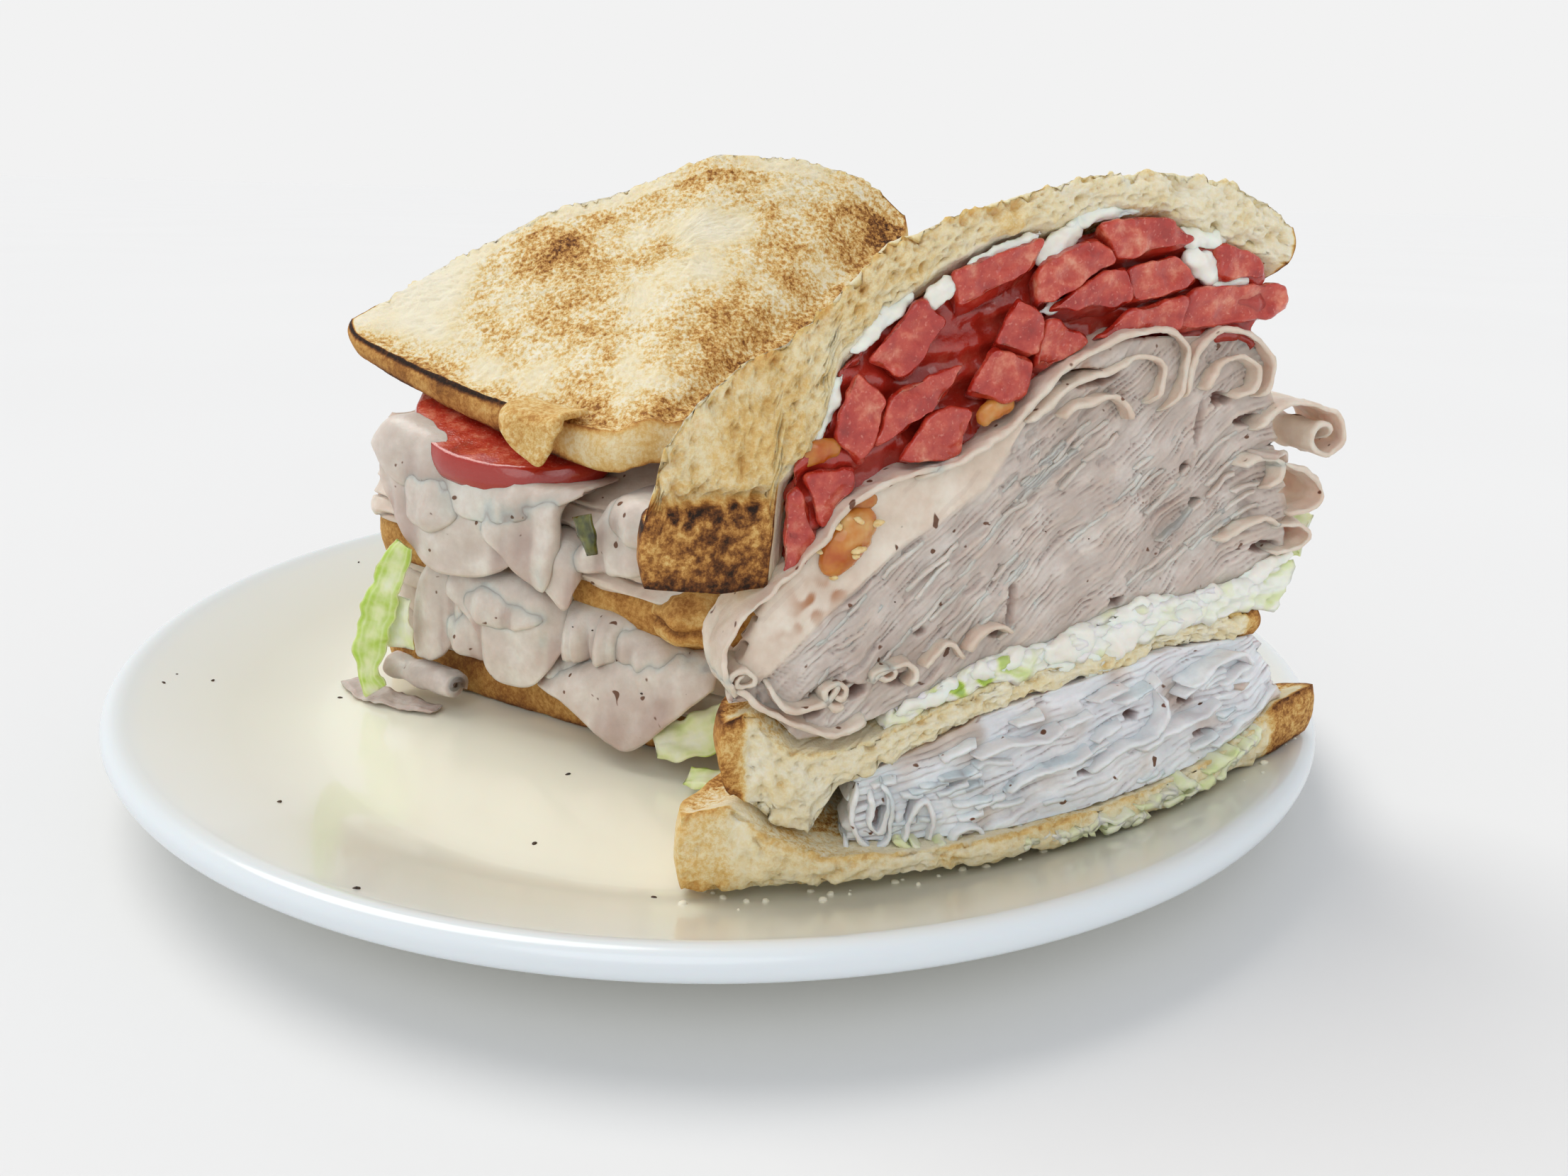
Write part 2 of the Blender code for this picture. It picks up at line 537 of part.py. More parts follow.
def rear_half(bread, meat, tomato, leaf, pickle):
    """The half that turns its crust corner to the viewer."""
    cut = HalfSlice(-15.0, 26.0, 194.9)
    base = HalfSlice(-17.0, 24.0, 189.0, 68.0, 63.0)
    lid = HalfSlice(-23.0, 27.5, 185.5, 67.3, 62.0)
    bottom_top = raised(plate_bed, draped(base, [(-68, 12), (0, 10), (68, 10)], 9.0))
    middle_low = draped(cut, [(-72, 44), (0, 50), (72, 38)], 31.0)
    middle_top = raised(middle_low, draped(cut, [(-72, 10), (0, 9), (72, 10)], 10.0))
    lid_top = draped(lid, REAR_LID_TOP, 75.0, bow=-3.0)
    lid_low = raised(lid_top, draped(lid, REAR_LID_THICKNESS, -9.0))
    heap_top = raised(lid_low, -TOMATO_THICKNESS - 8 * LAYER_GAP)

    toast("rear_bottom_toast", base, plate_bed, bottom_top, bread, seed=11)
    low, high = cut.spanning(-66, 66, 72), cut.spanning(-68, 69, 72)
    lower, upper = raised(bottom_top, 2 * LAYER_GAP), raised(middle_low, -LAYER_GAP)
    places = [(1, 0.2, 0.5), (1, 0.45, 0.42), (1, 0.66, 0.5), (1, 0.86, 0.4)]
    places += [(-1, 0.25, 0.5), (-1, 0.6, 0.5)]
    folds = side_folds(low, lower, upper, places, 12)
    turkey("rear_lower_turkey", low, high, lower, upper, meat, folds, 13, levels=4)
    toast("rear_middle_toast", cut.spanning(-66, 70, 72), middle_low, middle_top, bread, seed=14)
    low, high = cut.spanning(-62, 72, 74), cut.spanning(-52, 66, 62)
    lower = raised(middle_top, 2 * LAYER_GAP)
    places = [(1, 0.12, 0.62), (1, 0.3, 0.35), (1, 0.46, 0.66), (1, 0.62, 0.3), (1, 0.86, 0.5)]
    places += [(-1, 0.2, 0.5), (-1, 0.5, 0.5), (-1, 0.75, 0.5)]
    folds = side_folds(low, lower, heap_top, places, 15)
    turkey("rear_upper_turkey", low, high, lower, heap_top, meat, folds, 16, levels=6, relief=1.8)
    low_face = raised(heap_top, 4 * LAYER_GAP)
    for i, (x, y, radius) in enumerate([(-42.0, 2.0, 28.5), (6.0, -9.5, 17.0), (26.0, 24.0, 14.0)], 1):
        tomato_round(f"rear_tomato_{i}", x, y, radius, low_face, raised(low_face, TOMATO_THICKNESS), tomato)
    toast("rear_top_toast", lid, lid_low, lid_top, bread, seed=17)
    spine = [(-28.5, -43.0, 60.0), (-27.5, -43.5, 56.0), (-26.5, -43.8, 52.0)]
    ribbon("rear_pickle", spine, [4.5, 4.4, 2.5], (1, -0.5, 0), 1.5, pickle)


def loose_pieces(meat, leaf):
    """The lettuce, leaves and turkey that have slipped out of the sandwich onto the plate."""
    strip = [(-72, -14, 45), (-75.5, -14, 38), (-79.5, -13, 28)]
    strip += [(-82.5, -12, 18), (-83, -12.5, 12), (-81, -13.5, 9)]
    widths = [5, 6.5, 8, 8, 7, 5.5]
    ribbon("plate_lettuce_strip", strip, widths, (1, -0.25, 0), 1.2, leaf, ruffle=0.7, seed=21)
    back = [(-74.5, -12, 32), (-75.5, -11.5, 25), (-75, -11, 19)]
    ribbon("plate_lettuce_back", back, [6, 8, 7], (1, -0.5, 0), 1.2, leaf, ruffle=0.5, seed=22)
    rolled_scrap("plate_turkey_roll", (-79, -5, 12.4), (-61.5, -18, 12.4), 4.6, meat)
    flat = [(-91, -1, 6.7), (-86, -7.5, 6.7), (-76, -14, 6.7), (-66, -19, 6.7)]
    ribbon("plate_turkey_scrap", flat, [5, 8, 7, 4], (0.6, 1, 0), 1.1, meat, columns=4)
    upright = [(-14, -48, 12), (-7, -50, 14), (0, -51, 18), (6, -50, 22)]
    ribbon("plate_leaf_1", upright, [6, 9, 9, 5], (0, 0.4, 0.9), 1.4, leaf, ruffle=0.8, seed=23)
    lying = [(-7, -56, 8.6), (-1, -58.5, 9), (5, -61, 10.5)]
    ribbon("plate_leaf_2", lying, [5, 7, 6], (0.3, 0.9, 0.3), 1.4, leaf, ruffle=0.4, seed=24)


def main():
    clear_scene()
    china = material("glazed_china", (0.80, 0.79, 0.74), 0.18)
    bread = material("toasted_bread", (0.80, 0.62, 0.36), 0.85)
    meat = material("roast_turkey", (0.78, 0.68, 0.63), 0.45)
    tomato = material("ripe_tomato", (0.62, 0.10, 0.06), 0.30)
    leaf = material("lettuce_leaf", (0.62, 0.74, 0.36), 0.45)
    pickle = material("pickled_cucumber", (0.20, 0.22, 0.06), 0.35)
    make_plate(china)
    front_half(bread, meat, tomato, leaf)
    rear_half(bread, meat, tomato, leaf, pickle)
    loose_pieces(meat, leaf)


main()
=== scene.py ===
# %% [markdown]
# # A toasted turkey club sandwich on its plate
#
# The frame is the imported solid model: the plate and every layer of both halves already stand in their
# places. This script dresses them. Food has no smooth faces, so most solids are rebuilt here with tens
# of thousands of points, from the same surfaces that placed the solids. A slice of toast, a heap of
# turkey or a wedge of tomato is one closed skin whose points are pushed in and out by layered noise.
# Lengths are in millimetres until a mesh is written, in metres.

# %% Start from the frame
import itertools
import math
import random

import bmesh
import bpy
import numpy as np
from mathutils import Matrix, Vector


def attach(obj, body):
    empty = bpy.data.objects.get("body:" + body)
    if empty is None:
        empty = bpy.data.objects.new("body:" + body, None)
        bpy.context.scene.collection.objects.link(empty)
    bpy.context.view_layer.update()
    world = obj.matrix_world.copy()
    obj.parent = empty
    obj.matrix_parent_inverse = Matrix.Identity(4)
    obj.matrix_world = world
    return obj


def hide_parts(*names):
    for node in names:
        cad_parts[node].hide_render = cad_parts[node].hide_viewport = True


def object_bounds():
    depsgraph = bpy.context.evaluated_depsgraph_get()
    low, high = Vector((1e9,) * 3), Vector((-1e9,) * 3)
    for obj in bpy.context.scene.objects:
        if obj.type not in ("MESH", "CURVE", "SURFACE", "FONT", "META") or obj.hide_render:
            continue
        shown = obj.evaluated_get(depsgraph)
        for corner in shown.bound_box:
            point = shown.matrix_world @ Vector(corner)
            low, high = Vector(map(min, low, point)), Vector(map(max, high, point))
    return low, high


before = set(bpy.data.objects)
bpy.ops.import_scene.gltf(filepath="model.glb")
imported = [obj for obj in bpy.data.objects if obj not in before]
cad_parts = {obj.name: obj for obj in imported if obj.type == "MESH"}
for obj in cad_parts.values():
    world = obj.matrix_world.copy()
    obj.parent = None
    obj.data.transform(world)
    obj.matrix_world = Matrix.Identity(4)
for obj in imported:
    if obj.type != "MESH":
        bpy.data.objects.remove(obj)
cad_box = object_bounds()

MM = 0.001
print("solids in the frame:", len(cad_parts))

# %% [markdown]
# ## Noise that works on whole arrays
#
# Blender's own noise is called once per point, which is slow for skins of 60,000 points, so one
# gradient noise is written here for numpy arrays. Layers of it at doubling scales give soft lumps, and
# the distance to scattered points gives the round pores of bread crumb.

# %% Noise helpers
GRADIENTS = np.array([
    (1, 1, 0), (-1, 1, 0), (1, -1, 0), (-1, -1, 0), (1, 0, 1), (-1, 0, 1),
    (1, 0, -1), (-1, 0, -1), (0, 1, 1), (0, -1, 1), (0, 1, -1), (0, -1, -1),
], float)


def scramble(cell, seed):
    """A large whole number for each cell of a grid, always the same for the same seed."""
    mixed = cell[:, 0] * 73856093 ^ cell[:, 1] * 19349663 ^ cell[:, 2] * 83492791 ^ (seed * 40503 + 977)
    mixed = (mixed ^ (mixed >> 13)) * 1274126177 & 0x7FFFFFFF
    return mixed ^ (mixed >> 16)


def noise(points, size, seed=0):
    """Smooth noise between about -1 and 1, with lumps of that size."""
    scaled = np.atleast_2d(points) / size + 0.37 * seed
    cell = np.floor(scaled).astype(np.int64)
    inside = scaled - cell
    fade = inside * inside * inside * (inside * (inside * 6 - 15) + 10)
    total = np.zeros(len(scaled))
    for corner in itertools.product((0, 1), repeat=3):
        slope = GRADIENTS[scramble(cell + corner, seed) % 12]
        weight = np.prod(np.where(corner, fade, 1 - fade), axis=1)
        total += weight * ((inside - corner) * slope).sum(axis=1)
    return total * 1.3


def layered(points, size, octaves, seed=0, roughness=0.5):
    """Noise with finer and weaker noise added on top."""
    total, strength = 0.0, 1.0
    for octave in range(octaves):
        total = total + strength * noise(points, size * 0.5**octave, seed + 17 * octave)
        strength *= roughness
    return total


def pore_depth(points, size, seed=0):
    """1 at the middle of scattered round pores of that spacing, falling to 0 between them."""
    scaled = np.atleast_2d(points) / size
    cell = np.floor(scaled).astype(np.int64)
    nearest = np.full(len(scaled), 9.0)
    for step in itertools.product((-1, 0, 1), repeat=3):
        other = cell + step
        mixed = scramble(other, seed)
        jitter = np.stack([mixed % 1024, (mixed >> 7) % 1024, (mixed >> 14) % 1024], axis=1) / 1024
        radius = 0.25 + 0.35 * ((mixed >> 4) % 64) / 64
        nearest = np.minimum(nearest, np.linalg.norm(other + jitter - scaled, axis=1) / radius)
    return np.clip(1 - nearest, 0, 1)


def ramp(values, low, high):
    """0 below low, 1 above high and a smooth step between them. High may be the smaller one."""
    share = np.clip((values - low) / (high - low), 0, 1)
    return share * share * (3 - 2 * share)


def stacked(*columns):
    """Points from columns of numbers. A column may be one number for all of them."""
    return np.stack(np.broadcast_arrays(*columns), axis=1)


print("noise at three points:", noise(np.array([(0.1, 2, 3), (5, 5.5, 5), (8.2, 1, 0)]), 2.0).round(3))

# %% [markdown]
# ## Closed skins from rings of points
#
# Toast, heaps of meat, tomato and the plate have the same topology: rings of points stacked from one
# pole to the other. So one function builds the faces, closes the poles and turns them outwards. A
# relief function then moves the points along their normals. What it knows about each point, such as
# how deep in a crack it lies, is stored on the mesh as an attribute that the finish reads.

# %% Mesh helpers
def normals_of(points, quads):
    """The unit normal at each point of a mesh of quads."""
    across = points[quads[:, 2]] - points[quads[:, 0]]
    along = points[quads[:, 3]] - points[quads[:, 1]]
    normal = np.zeros_like(points)
    for k in range(4):
        np.add.at(normal, quads[:, k], np.cross(across, along))
    return normal / np.maximum(np.linalg.norm(normal, axis=1, keepdims=True), 1e-9)


def new_object(name, data):
    """An object for a mesh, a curve, a lamp or a camera, linked to the scene."""
    made = bpy.data.objects.new(name, data)
    bpy.context.scene.collection.objects.link(made)
    return made


def store(mesh, attributes):
    """Stores numbers for the finish to read: one for each point, or one for all of them."""
    for label, values in attributes.items():
        layer = mesh.attributes.new(label, "FLOAT", "POINT")
        layer.data.foreach_set("value", np.full(len(mesh.vertices), values, np.float32))


def write_mesh(name, points, faces, finish, attributes=None, inside_solid=True):
    """A mesh object at the origin from points in millimetres and faces, which may be triangles or quads.
    Nothing may reach out of the box of the solids, so a bump that would is pressed flat."""
    if inside_solid:
        points = np.clip(points, np.array(cad_box[0]) / MM, np.array(cad_box[1]) / MM)
    mesh = bpy.data.meshes.new(name)
    mesh.from_pydata((points * MM).tolist(), [], faces)
    store(mesh, attributes or {})
    mesh.materials.append(finish)
    mesh.shade_smooth()
    mesh.update()
    return new_object(name, mesh)


def skin(name, rings, finish, relief=None):
    """A closed solid from an array of rings (ring, point, xyz). Each end is closed at a pole.
    relief(points, ring_index, point_index) returns how far each point moves outwards and the attributes."""
    rings = np.asarray(rings, float)
    ring_count, around = rings.shape[:2]
    poles = np.array([rings[0].mean(axis=0), rings[-1].mean(axis=0)])
    points = np.concatenate([rings.reshape(-1, 3), poles])
    r, c = np.meshgrid(np.arange(ring_count - 1), np.arange(around), indexing="ij")
    here, beside = r * around + c, r * around + (c + 1) % around
    quads = np.stack([here, beside, beside + around, here + around], axis=-1).reshape(-1, 4)
    corners = points[quads]
    volume = np.einsum("ij,ij->i", corners[:, 0], np.cross(corners[:, 1], corners[:, 2])).sum()
    volume += np.einsum("ij,ij->i", corners[:, 0], np.cross(corners[:, 2], corners[:, 3])).sum()
    outward = volume > 0
    normal = normals_of(points, quads) * (1 if outward else -1)
    normal[-2] = normal[:around].mean(axis=0)
    normal[-1] = normal[-2 - around:-2].mean(axis=0)
    normal[-2:] /= np.maximum(np.linalg.norm(normal[-2:], axis=1, keepdims=True), 1e-9)
    attributes = {}
    if relief:
        ring_index = np.append(np.repeat(np.arange(ring_count), around), (0, ring_count - 1))
        point_index = np.append(np.tile(np.arange(around), ring_count), (0, 0))
        moved, attributes = relief(points, ring_index, point_index)
        points = points + normal * moved[:, None]
    first, last = len(points) - 2, len(points) - 1
    fans = [(first, (i + 1) % around, i) for i in range(around)]
    base = (ring_count - 1) * around
    fans += [(last, base + i, base + (i + 1) % around) for i in range(around)]
    faces = quads.tolist() + fans
    if not outward:
        faces = [face[::-1] for face in faces]
    return write_mesh(name, points, faces, finish, attributes)


def dress(made, *nodes, slot):
    """Hangs a finished piece on the root body and hides the solids it stands for. Its slot is not used."""
    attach(made, "root")
    if nodes:
        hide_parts(*nodes)
    print(made.name, "-", len(made.data.polygons), "faces")
    return made


# %% [markdown]
# ## Where everything lies
#
# The solids were placed by surfaces: the height of each interface is drawn along the knife cut and
# fades to one height at the loaf corner. The same tables are used here, on arrays, so each dressed
# layer covers its own solid. In a half slice, u runs along its cut edge and n in to the loaf corner.

# %% Surfaces and half slices
SLICE_CORNER_RADIUS = 14.0
HALF_DIAGONAL = 110.0 / math.sqrt(2)
CORNER_CENTRE = HALF_DIAGONAL - SLICE_CORNER_RADIUS * math.sqrt(2)
REACH = CORNER_CENTRE + SLICE_CORNER_RADIUS
PLATE_WELL_RADIUS = 95.0
PLATE_WELL_TOP = 5.5
RIM_SLOPE = 0.425


def distance_along(path):
    """How far each point of a path is from its start, along it."""
    return np.append(0, np.cumsum(np.linalg.norm(np.diff(path, axis=0), axis=1)))


def columns_at(path, stops):
    """The columns of a path's points, at those distances along it."""
    reached = distance_along(path)
    return [np.interp(stops, reached, column) for column in path.T]


def read_off(table, place):
    """The value at a place on the line through a table of (place, value)."""
    return np.interp(place, *np.array(table, float).T)


class HalfSlice:
    """Where a half slice lies: the middle of its cut edge, the way that edge runs, half its length,
    how far away the loaf corner is and how far the middle of the cut edge is pressed out."""

    def __init__(self, mid_x, mid_y, turn_deg, half_length=REACH, depth=REACH, bow=0.0):
        self.mid = np.array((mid_x, mid_y), float)
        self.turn_deg, self.half_length, self.depth, self.bow = turn_deg, half_length, depth, bow
        turn = math.radians(turn_deg)
        self.along = np.array((math.cos(turn), math.sin(turn)))
        self.inward = np.array((-math.sin(turn), math.cos(turn)))

    def place(self, u, n):
        """World x and y of places (u, n)."""
        u, n = np.asarray(u, float)[..., None], np.asarray(n, float)[..., None]
        return self.mid + u * self.along + n * self.inward

    def local(self, x, y):
        """The places (u, n) of world x and y."""
        away = np.stack([np.asarray(x) - self.mid[0], np.asarray(y) - self.mid[1]], axis=-1)
        return away @ self.along, away @ self.inward

    def spanning(self, left, right, depth=REACH, bow=0.0):
        """A half slice in the same plane whose cut edge runs from left to right."""
        mid = self.place((left + right) / 2, 0.0)
        return HalfSlice(mid[0], mid[1], self.turn_deg, (right - left) / 2, depth, bow)

    def outline(self, cut_count, rest_count):
        """Points round the slice, anticlockwise from the left end of its cut edge, with so many on the
        cut edge and on the rest, and whether each is on the cut edge."""
        radius = SLICE_CORNER_RADIUS

        def arc(centre_u, centre_n, start_deg, end_deg):
            angle = np.radians(np.linspace(start_deg, end_deg, 24))
            return np.stack([centre_u + radius * np.cos(angle), centre_n + radius * np.sin(angle)], axis=1)

        path = np.concatenate([
            [(-REACH, 0.0)], arc(CORNER_CENTRE, 0.0, 0, 45), arc(0.0, CORNER_CENTRE, 45, 135),
            arc(-CORNER_CENTRE, 0.0, 135, 180),
        ])
        path *= (self.half_length / REACH, self.depth / REACH)
        _, cut_end, *_, whole = distance_along(path)
        cut_stops = np.arange(cut_count) / cut_count * cut_end
        rest_stops = cut_end + np.arange(rest_count) / rest_count * (whole - cut_end)
        stops = np.concatenate([cut_stops, rest_stops])
        u, n = columns_at(path, stops)
        on_cut = np.arange(len(stops)) < cut_count
        n = np.where(on_cut, -self.bow * (1 - (u / self.half_length) ** 2), n)
        return self.place(u, n), on_cut


def draped(half, cut_heights, corner_height, bow=0.0):
    """A surface stretched from heights along the cut edge to one height at the loaf corner."""
    nearly_there = 0.93

    def height(x, y):
        u, n = half.local(x, y)
        share = np.minimum(n / half.depth, nearly_there)
        spread = read_off(cut_heights, u / (1 - share))
        return spread * (1 - share) + corner_height * share + 4 * bow * np.maximum(share, 0) * (1 - share)

    return height


def raised(surface, by):
    """A surface moved up by a number, or by another surface."""
    if callable(by):
        return lambda x, y: surface(x, y) + by(x, y)
    return lambda x, y: surface(x, y) + by


def clear_of(surface, other, by):
    """A surface that stays at least so far above another one."""
    return lambda x, y: np.maximum(surface(x, y), other(x, y) + by)


def plate_bed(x, y):
    """The height of the underside of food that has settled on the plate."""
    bridging, clearance = 8.0, 0.6
    over = (np.hypot(x, y) - PLATE_WELL_RADIUS) / bridging
    return PLATE_WELL_TOP + clearance + RIM_SLOPE * bridging * np.logaddexp(0, over)


def layer_rings(low_outline, high_outline, lower, upper, rings, levels, puff=0.0):
    """Rings for skin(): the underside from its middle out, up the side, and back to the middle on top.
    Also a test of ring numbers, for those on the side, and the numbers where the side starts and ends."""
    shares = np.linspace(0, 1, levels + 2)[1:-1]
    innermost = 0.02

    def face(outline, surface):
        centre = outline.mean(axis=0)
        grow = innermost + (1 - innermost) * (np.arange(1, rings + 1) / rings) ** 0.85
        flat = centre + (outline - centre) * grow[:, None, None]
        return np.concatenate([flat, surface(flat[..., 0], flat[..., 1])[..., None]], axis=-1)

    below, above = face(low_outline, lower), face(high_outline, upper)
    step = np.roll(low_outline, -1, axis=0) - np.roll(low_outline, 1, axis=0)
    outward = np.stack([step[:, 1], -step[:, 0]], axis=1)
    outward /= np.linalg.norm(outward, axis=1, keepdims=True)
    wall = below[-1] + (above[-1] - below[-1]) * shares[:, None, None]
    wall[..., :2] += outward * (puff * np.sin(math.pi * shares))[:, None, None]
    start, end = rings, rings + levels
    rows = np.concatenate([below, wall, above[::-1]])
    return rows, lambda ring: (ring >= start - 1) & (ring <= end), start, end


FRONT_CUT = HalfSlice(62.2, -78.2, 17.5)
print("half slice reaches", round(REACH, 1), "mm each way from the middle of its cut")

# %% [markdown]
# ## A small kit for materials
#
# Each finish is a node tree built in the script. One function adds a node with its settings and links,
# and one turns a hex colour into the linear numbers that shaders use. Patterns read Object
# coordinates, in metres, so a scale of 1000 divided by a size in millimetres gives lumps of that size.
# What depends on the shape, such as how browned a point is, comes from the stored attributes.

# %% Material helpers
def linear(hex_colour):
    """The linear red, green, blue and alpha of an sRGB hex colour."""
    parts = [int(hex_colour[i:i + 2], 16) / 255 for i in (0, 2, 4)]
    return tuple(p / 12.92 if p <= 0.04045 else ((p + 0.055) / 1.055) ** 2.4 for p in parts) + (1.0,)


def join(tree, node, inputs):
    """Sets inputs of a node. A socket is linked to its input, and anything else is the input's value."""
    for key, value in inputs.items():
        if isinstance(value, bpy.types.NodeSocket):
            tree.links.new(value, node.inputs[key])
        else:
            node.inputs[key].default_value = value


def add(tree, kind, inputs=None, stops=None, **settings):
    """Adds a node to a tree, with its settings, its colour stops and its inputs: values or sockets."""
    node = tree.nodes.new(kind)
    for name, value in settings.items():
        setattr(node, name, value)
    join(tree, node, inputs or {})
    if stops:
        elements = node.color_ramp.elements
        while len(elements) < len(stops):
            elements.new(0.5)
        for element, (place, hex_colour) in zip(elements, stops):
            element.position, element.color = place, linear(hex_colour)
    return node


def finish_named(name, **shader_inputs):
    """A new material with its tree, its surface shader and its Object coordinates."""
    made = bpy.data.materials.new(name)
    made.use_nodes = True
    tree = made.node_tree
    shader = tree.nodes["Principled BSDF"]
    join(tree, shader, {key.replace("_", " "): value for key, value in shader_inputs.items()})
    place = add(tree, "ShaderNodeTexCoord").outputs["Object"]
    return made, tree, shader, place


def mottled(name, lump, detail, stops, bump_depth=0.0, **shader_inputs):
    """A finish of one wandering colour, in lumps of a size in millimetres, which may stand out a little."""
    made, tree, shader, place = finish_named(name, **shader_inputs)
    lumps = add(tree, "ShaderNodeTexNoise", {"Vector": place, "Scale": 1000 / lump, "Detail": detail})
    colour = add(tree, "ShaderNodeValToRGB", {0: lumps.outputs[0]}, stops=stops)
    join(tree, shader, {"Base Color": colour.outputs[0]})
    if bump_depth:
        bump = add(tree, "ShaderNodeBump", {"Height": lumps.outputs[0], "Strength": 0.3,
                                            "Distance": bump_depth})
        join(tree, shader, {"Normal": bump.outputs[0]})
    return made


# %% [markdown]
# ## Glazed china
#
# Hotel china is vitrified clay under a glass-like glaze. The glaze is poured, so it is a little wavy.
# A colour that follows the distance from the middle paints reflection and shade onto it: cream in the
# well, greyer on the rim and bluish at the outer edge, which faces down, away from the lamps. A clear
# glossy coat lies over it.

# %% China finish
CHINA, tree, shader, place = finish_named(
    "glazed_vitrified_china", Roughness=0.2, IOR=1.5, Coat_Weight=0.35, Coat_Roughness=0.06,
    Subsurface_Weight=0.08, Subsurface_Scale=0.004,
)
from_middle = add(tree, "ShaderNodeVectorMath", {0: place, 1: (1, 1, 0)}, operation="MULTIPLY")
distance = add(tree, "ShaderNodeVectorMath", {0: from_middle.outputs[0]}, operation="LENGTH")
rim_share = add(tree, "ShaderNodeMapRange", {0: distance.outputs["Value"], 1: 0.088, 2: 0.134})
# Painted reflection and shade: cream in the well, greyer on the rim, darker and bluish at its outer edge.
pooled = add(tree, "ShaderNodeValToRGB", {0: rim_share.outputs[0]},
             stops=[(0.0, "f4f3e2"), (0.5, "e6e5d7"), (0.85, "e5e6de"), (1.0, "dde5ea")])
waves = add(tree, "ShaderNodeTexNoise", {"Vector": place, "Scale": 1000 / 45, "Detail": 1.0})
bump = add(tree, "ShaderNodeBump", {"Height": waves.outputs[0], "Strength": 0.05, "Distance": 0.001})
join(tree, shader, {"Base Color": pooled.outputs[0], "Normal": bump.outputs[0]})

# %% [markdown]
# ## Toasted white bread
#
# Crumb is a pale open foam that lets light through a little. Heat browns it from cream over gold to
# nearly black. The browning is one stored number, which also carries painted shade in the pores of the
# crumb and in the crease of a fold. Finer speckles are added to it before a colour ramp, so the edge of
# a browned patch breaks up into grains, as on real toast. Crust and torn crumb are smoother, so a second
# number, "grainy", says how strong the speckles are.

# %% Bread finish
BREAD, tree, shader, place = finish_named(
    "toasted_white_bread", Roughness=0.82, Subsurface_Weight=0.22, Subsurface_Scale=0.0025,
    Subsurface_Radius=(1.0, 0.6, 0.3), Specular_IOR_Level=0.3,
)
brown, grainy = (
    add(tree, "ShaderNodeAttribute", attribute_name=label).outputs["Fac"] for label in ("brown", "grainy"))
grain = add(tree, "ShaderNodeTexNoise",
            {"Vector": place, "Scale": 1000 / 1.1, "Detail": 4.0, "Roughness": 0.75})
patch = add(tree, "ShaderNodeTexNoise", {"Vector": place, "Scale": 1000 / 6, "Detail": 2.0})
grain_share = add(tree, "ShaderNodeMapRange", {0: grain.outputs[0], 1: 0.38, 2: 0.62, 3: -0.24, 4: 0.24})
patch_share = add(tree, "ShaderNodeMapRange", {0: patch.outputs[0], 1: 0.3, 2: 0.7, 3: -0.14, 4: 0.14})
speckle = add(tree, "ShaderNodeMath", {0: grain_share.outputs[0], 1: patch_share.outputs[0]}, operation="ADD")
speckled = add(tree, "ShaderNodeMath", {0: speckle.outputs[0], 1: grainy, 2: brown}, operation="MULTIPLY_ADD")
toasting = add(tree, "ShaderNodeValToRGB", {0: speckled.outputs[0]}, stops=[
    (0.0, "ebe5d0"), (0.2, "e6d7ae"), (0.36, "dab978"), (0.5, "c69652"), (0.64, "a06c34"), (0.8, "693e1c"),
    (1.0, "27170d"),
])
crumb_grain = add(tree, "ShaderNodeTexNoise", {"Vector": place, "Scale": 1000 / 0.7, "Detail": 2.0})
bump = add(tree, "ShaderNodeBump", {"Height": crumb_grain.outputs[0], "Strength": 0.5, "Distance": 0.0004})
join(tree, shader, {"Base Color": toasting.outputs[0], "Normal": bump.outputs[0]})

# %% [markdown]
# ## Sliced roast turkey
#
# Turkey breast is pressed, roasted and shaved into slices about a millimetre thick: a moist, pinkish
# white that scatters light far inside, so its folds stay soft. Four stored numbers colour it, one over
# the other: "pale" turns the sawn fibres of a cut into the lighter face of a slice, "cool" smears it
# with mayonnaise, "deep" paints shade into cracks, pockets and hollows, and "roast" browns the
# outside. Dark herbs lie over it all.

# %% Turkey finish
TURKEY, tree, shader, place = finish_named(
    "shaved_roast_turkey", Roughness=0.4, Subsurface_Weight=0.42, Subsurface_Scale=0.0032,
    Subsurface_Radius=(1.0, 0.42, 0.32), Specular_IOR_Level=0.45,
)
pale, cool, deep, roast = (
    add(tree, "ShaderNodeAttribute", attribute_name=label).outputs["Fac"]
    for label in ("pale", "cool", "deep", "roast"))
marbling = add(tree, "ShaderNodeTexNoise",
               {"Vector": place, "Scale": 1000 / 7, "Detail": 4.0, "Roughness": 0.6})
cut_meat, sheet_meat, mayo_smear = (
    add(tree, "ShaderNodeValToRGB", {0: marbling.outputs[0]}, stops=stops).outputs[0] for stops in (
        [(0.25, "b4a69d"), (0.5, "c4b8b0"), (0.72, "dad1ca")],
        [(0.25, "d1bdaa"), (0.5, "dfcfbe"), (0.72, "ece2d4")],
        [(0.3, "dadce0"), (0.5, "e7e8eb"), (0.7, "f8f8fa")]))
herbs = add(tree, "ShaderNodeTexNoise", {"Vector": place, "Scale": 1000 / 2.1, "Detail": 0.0})
herb_share = add(tree, "ShaderNodeMapRange", {0: herbs.outputs[0], 1: 0.80, 2: 0.83}).outputs[0]
# The dark brownish mix by "deep" is painted shade.
meat = cut_meat
for share, over in ((pale, sheet_meat), (cool, mayo_smear), (deep, linear("8f6a60")),
                    (roast, linear("a8672f")), (herb_share, linear("6d4a35"))):
    meat = add(tree, "ShaderNodeMix", {0: share, 6: meat, 7: over}, data_type="RGBA").outputs[2]
fibres = add(tree, "ShaderNodeTexNoise", {"Vector": place, "Scale": 1000 / 0.9, "Detail": 3.0})
bump = add(tree, "ShaderNodeBump", {"Height": fibres.outputs[0], "Strength": 0.35, "Distance": 0.0003})
join(tree, shader, {"Base Color": meat, "Normal": bump.outputs[0]})

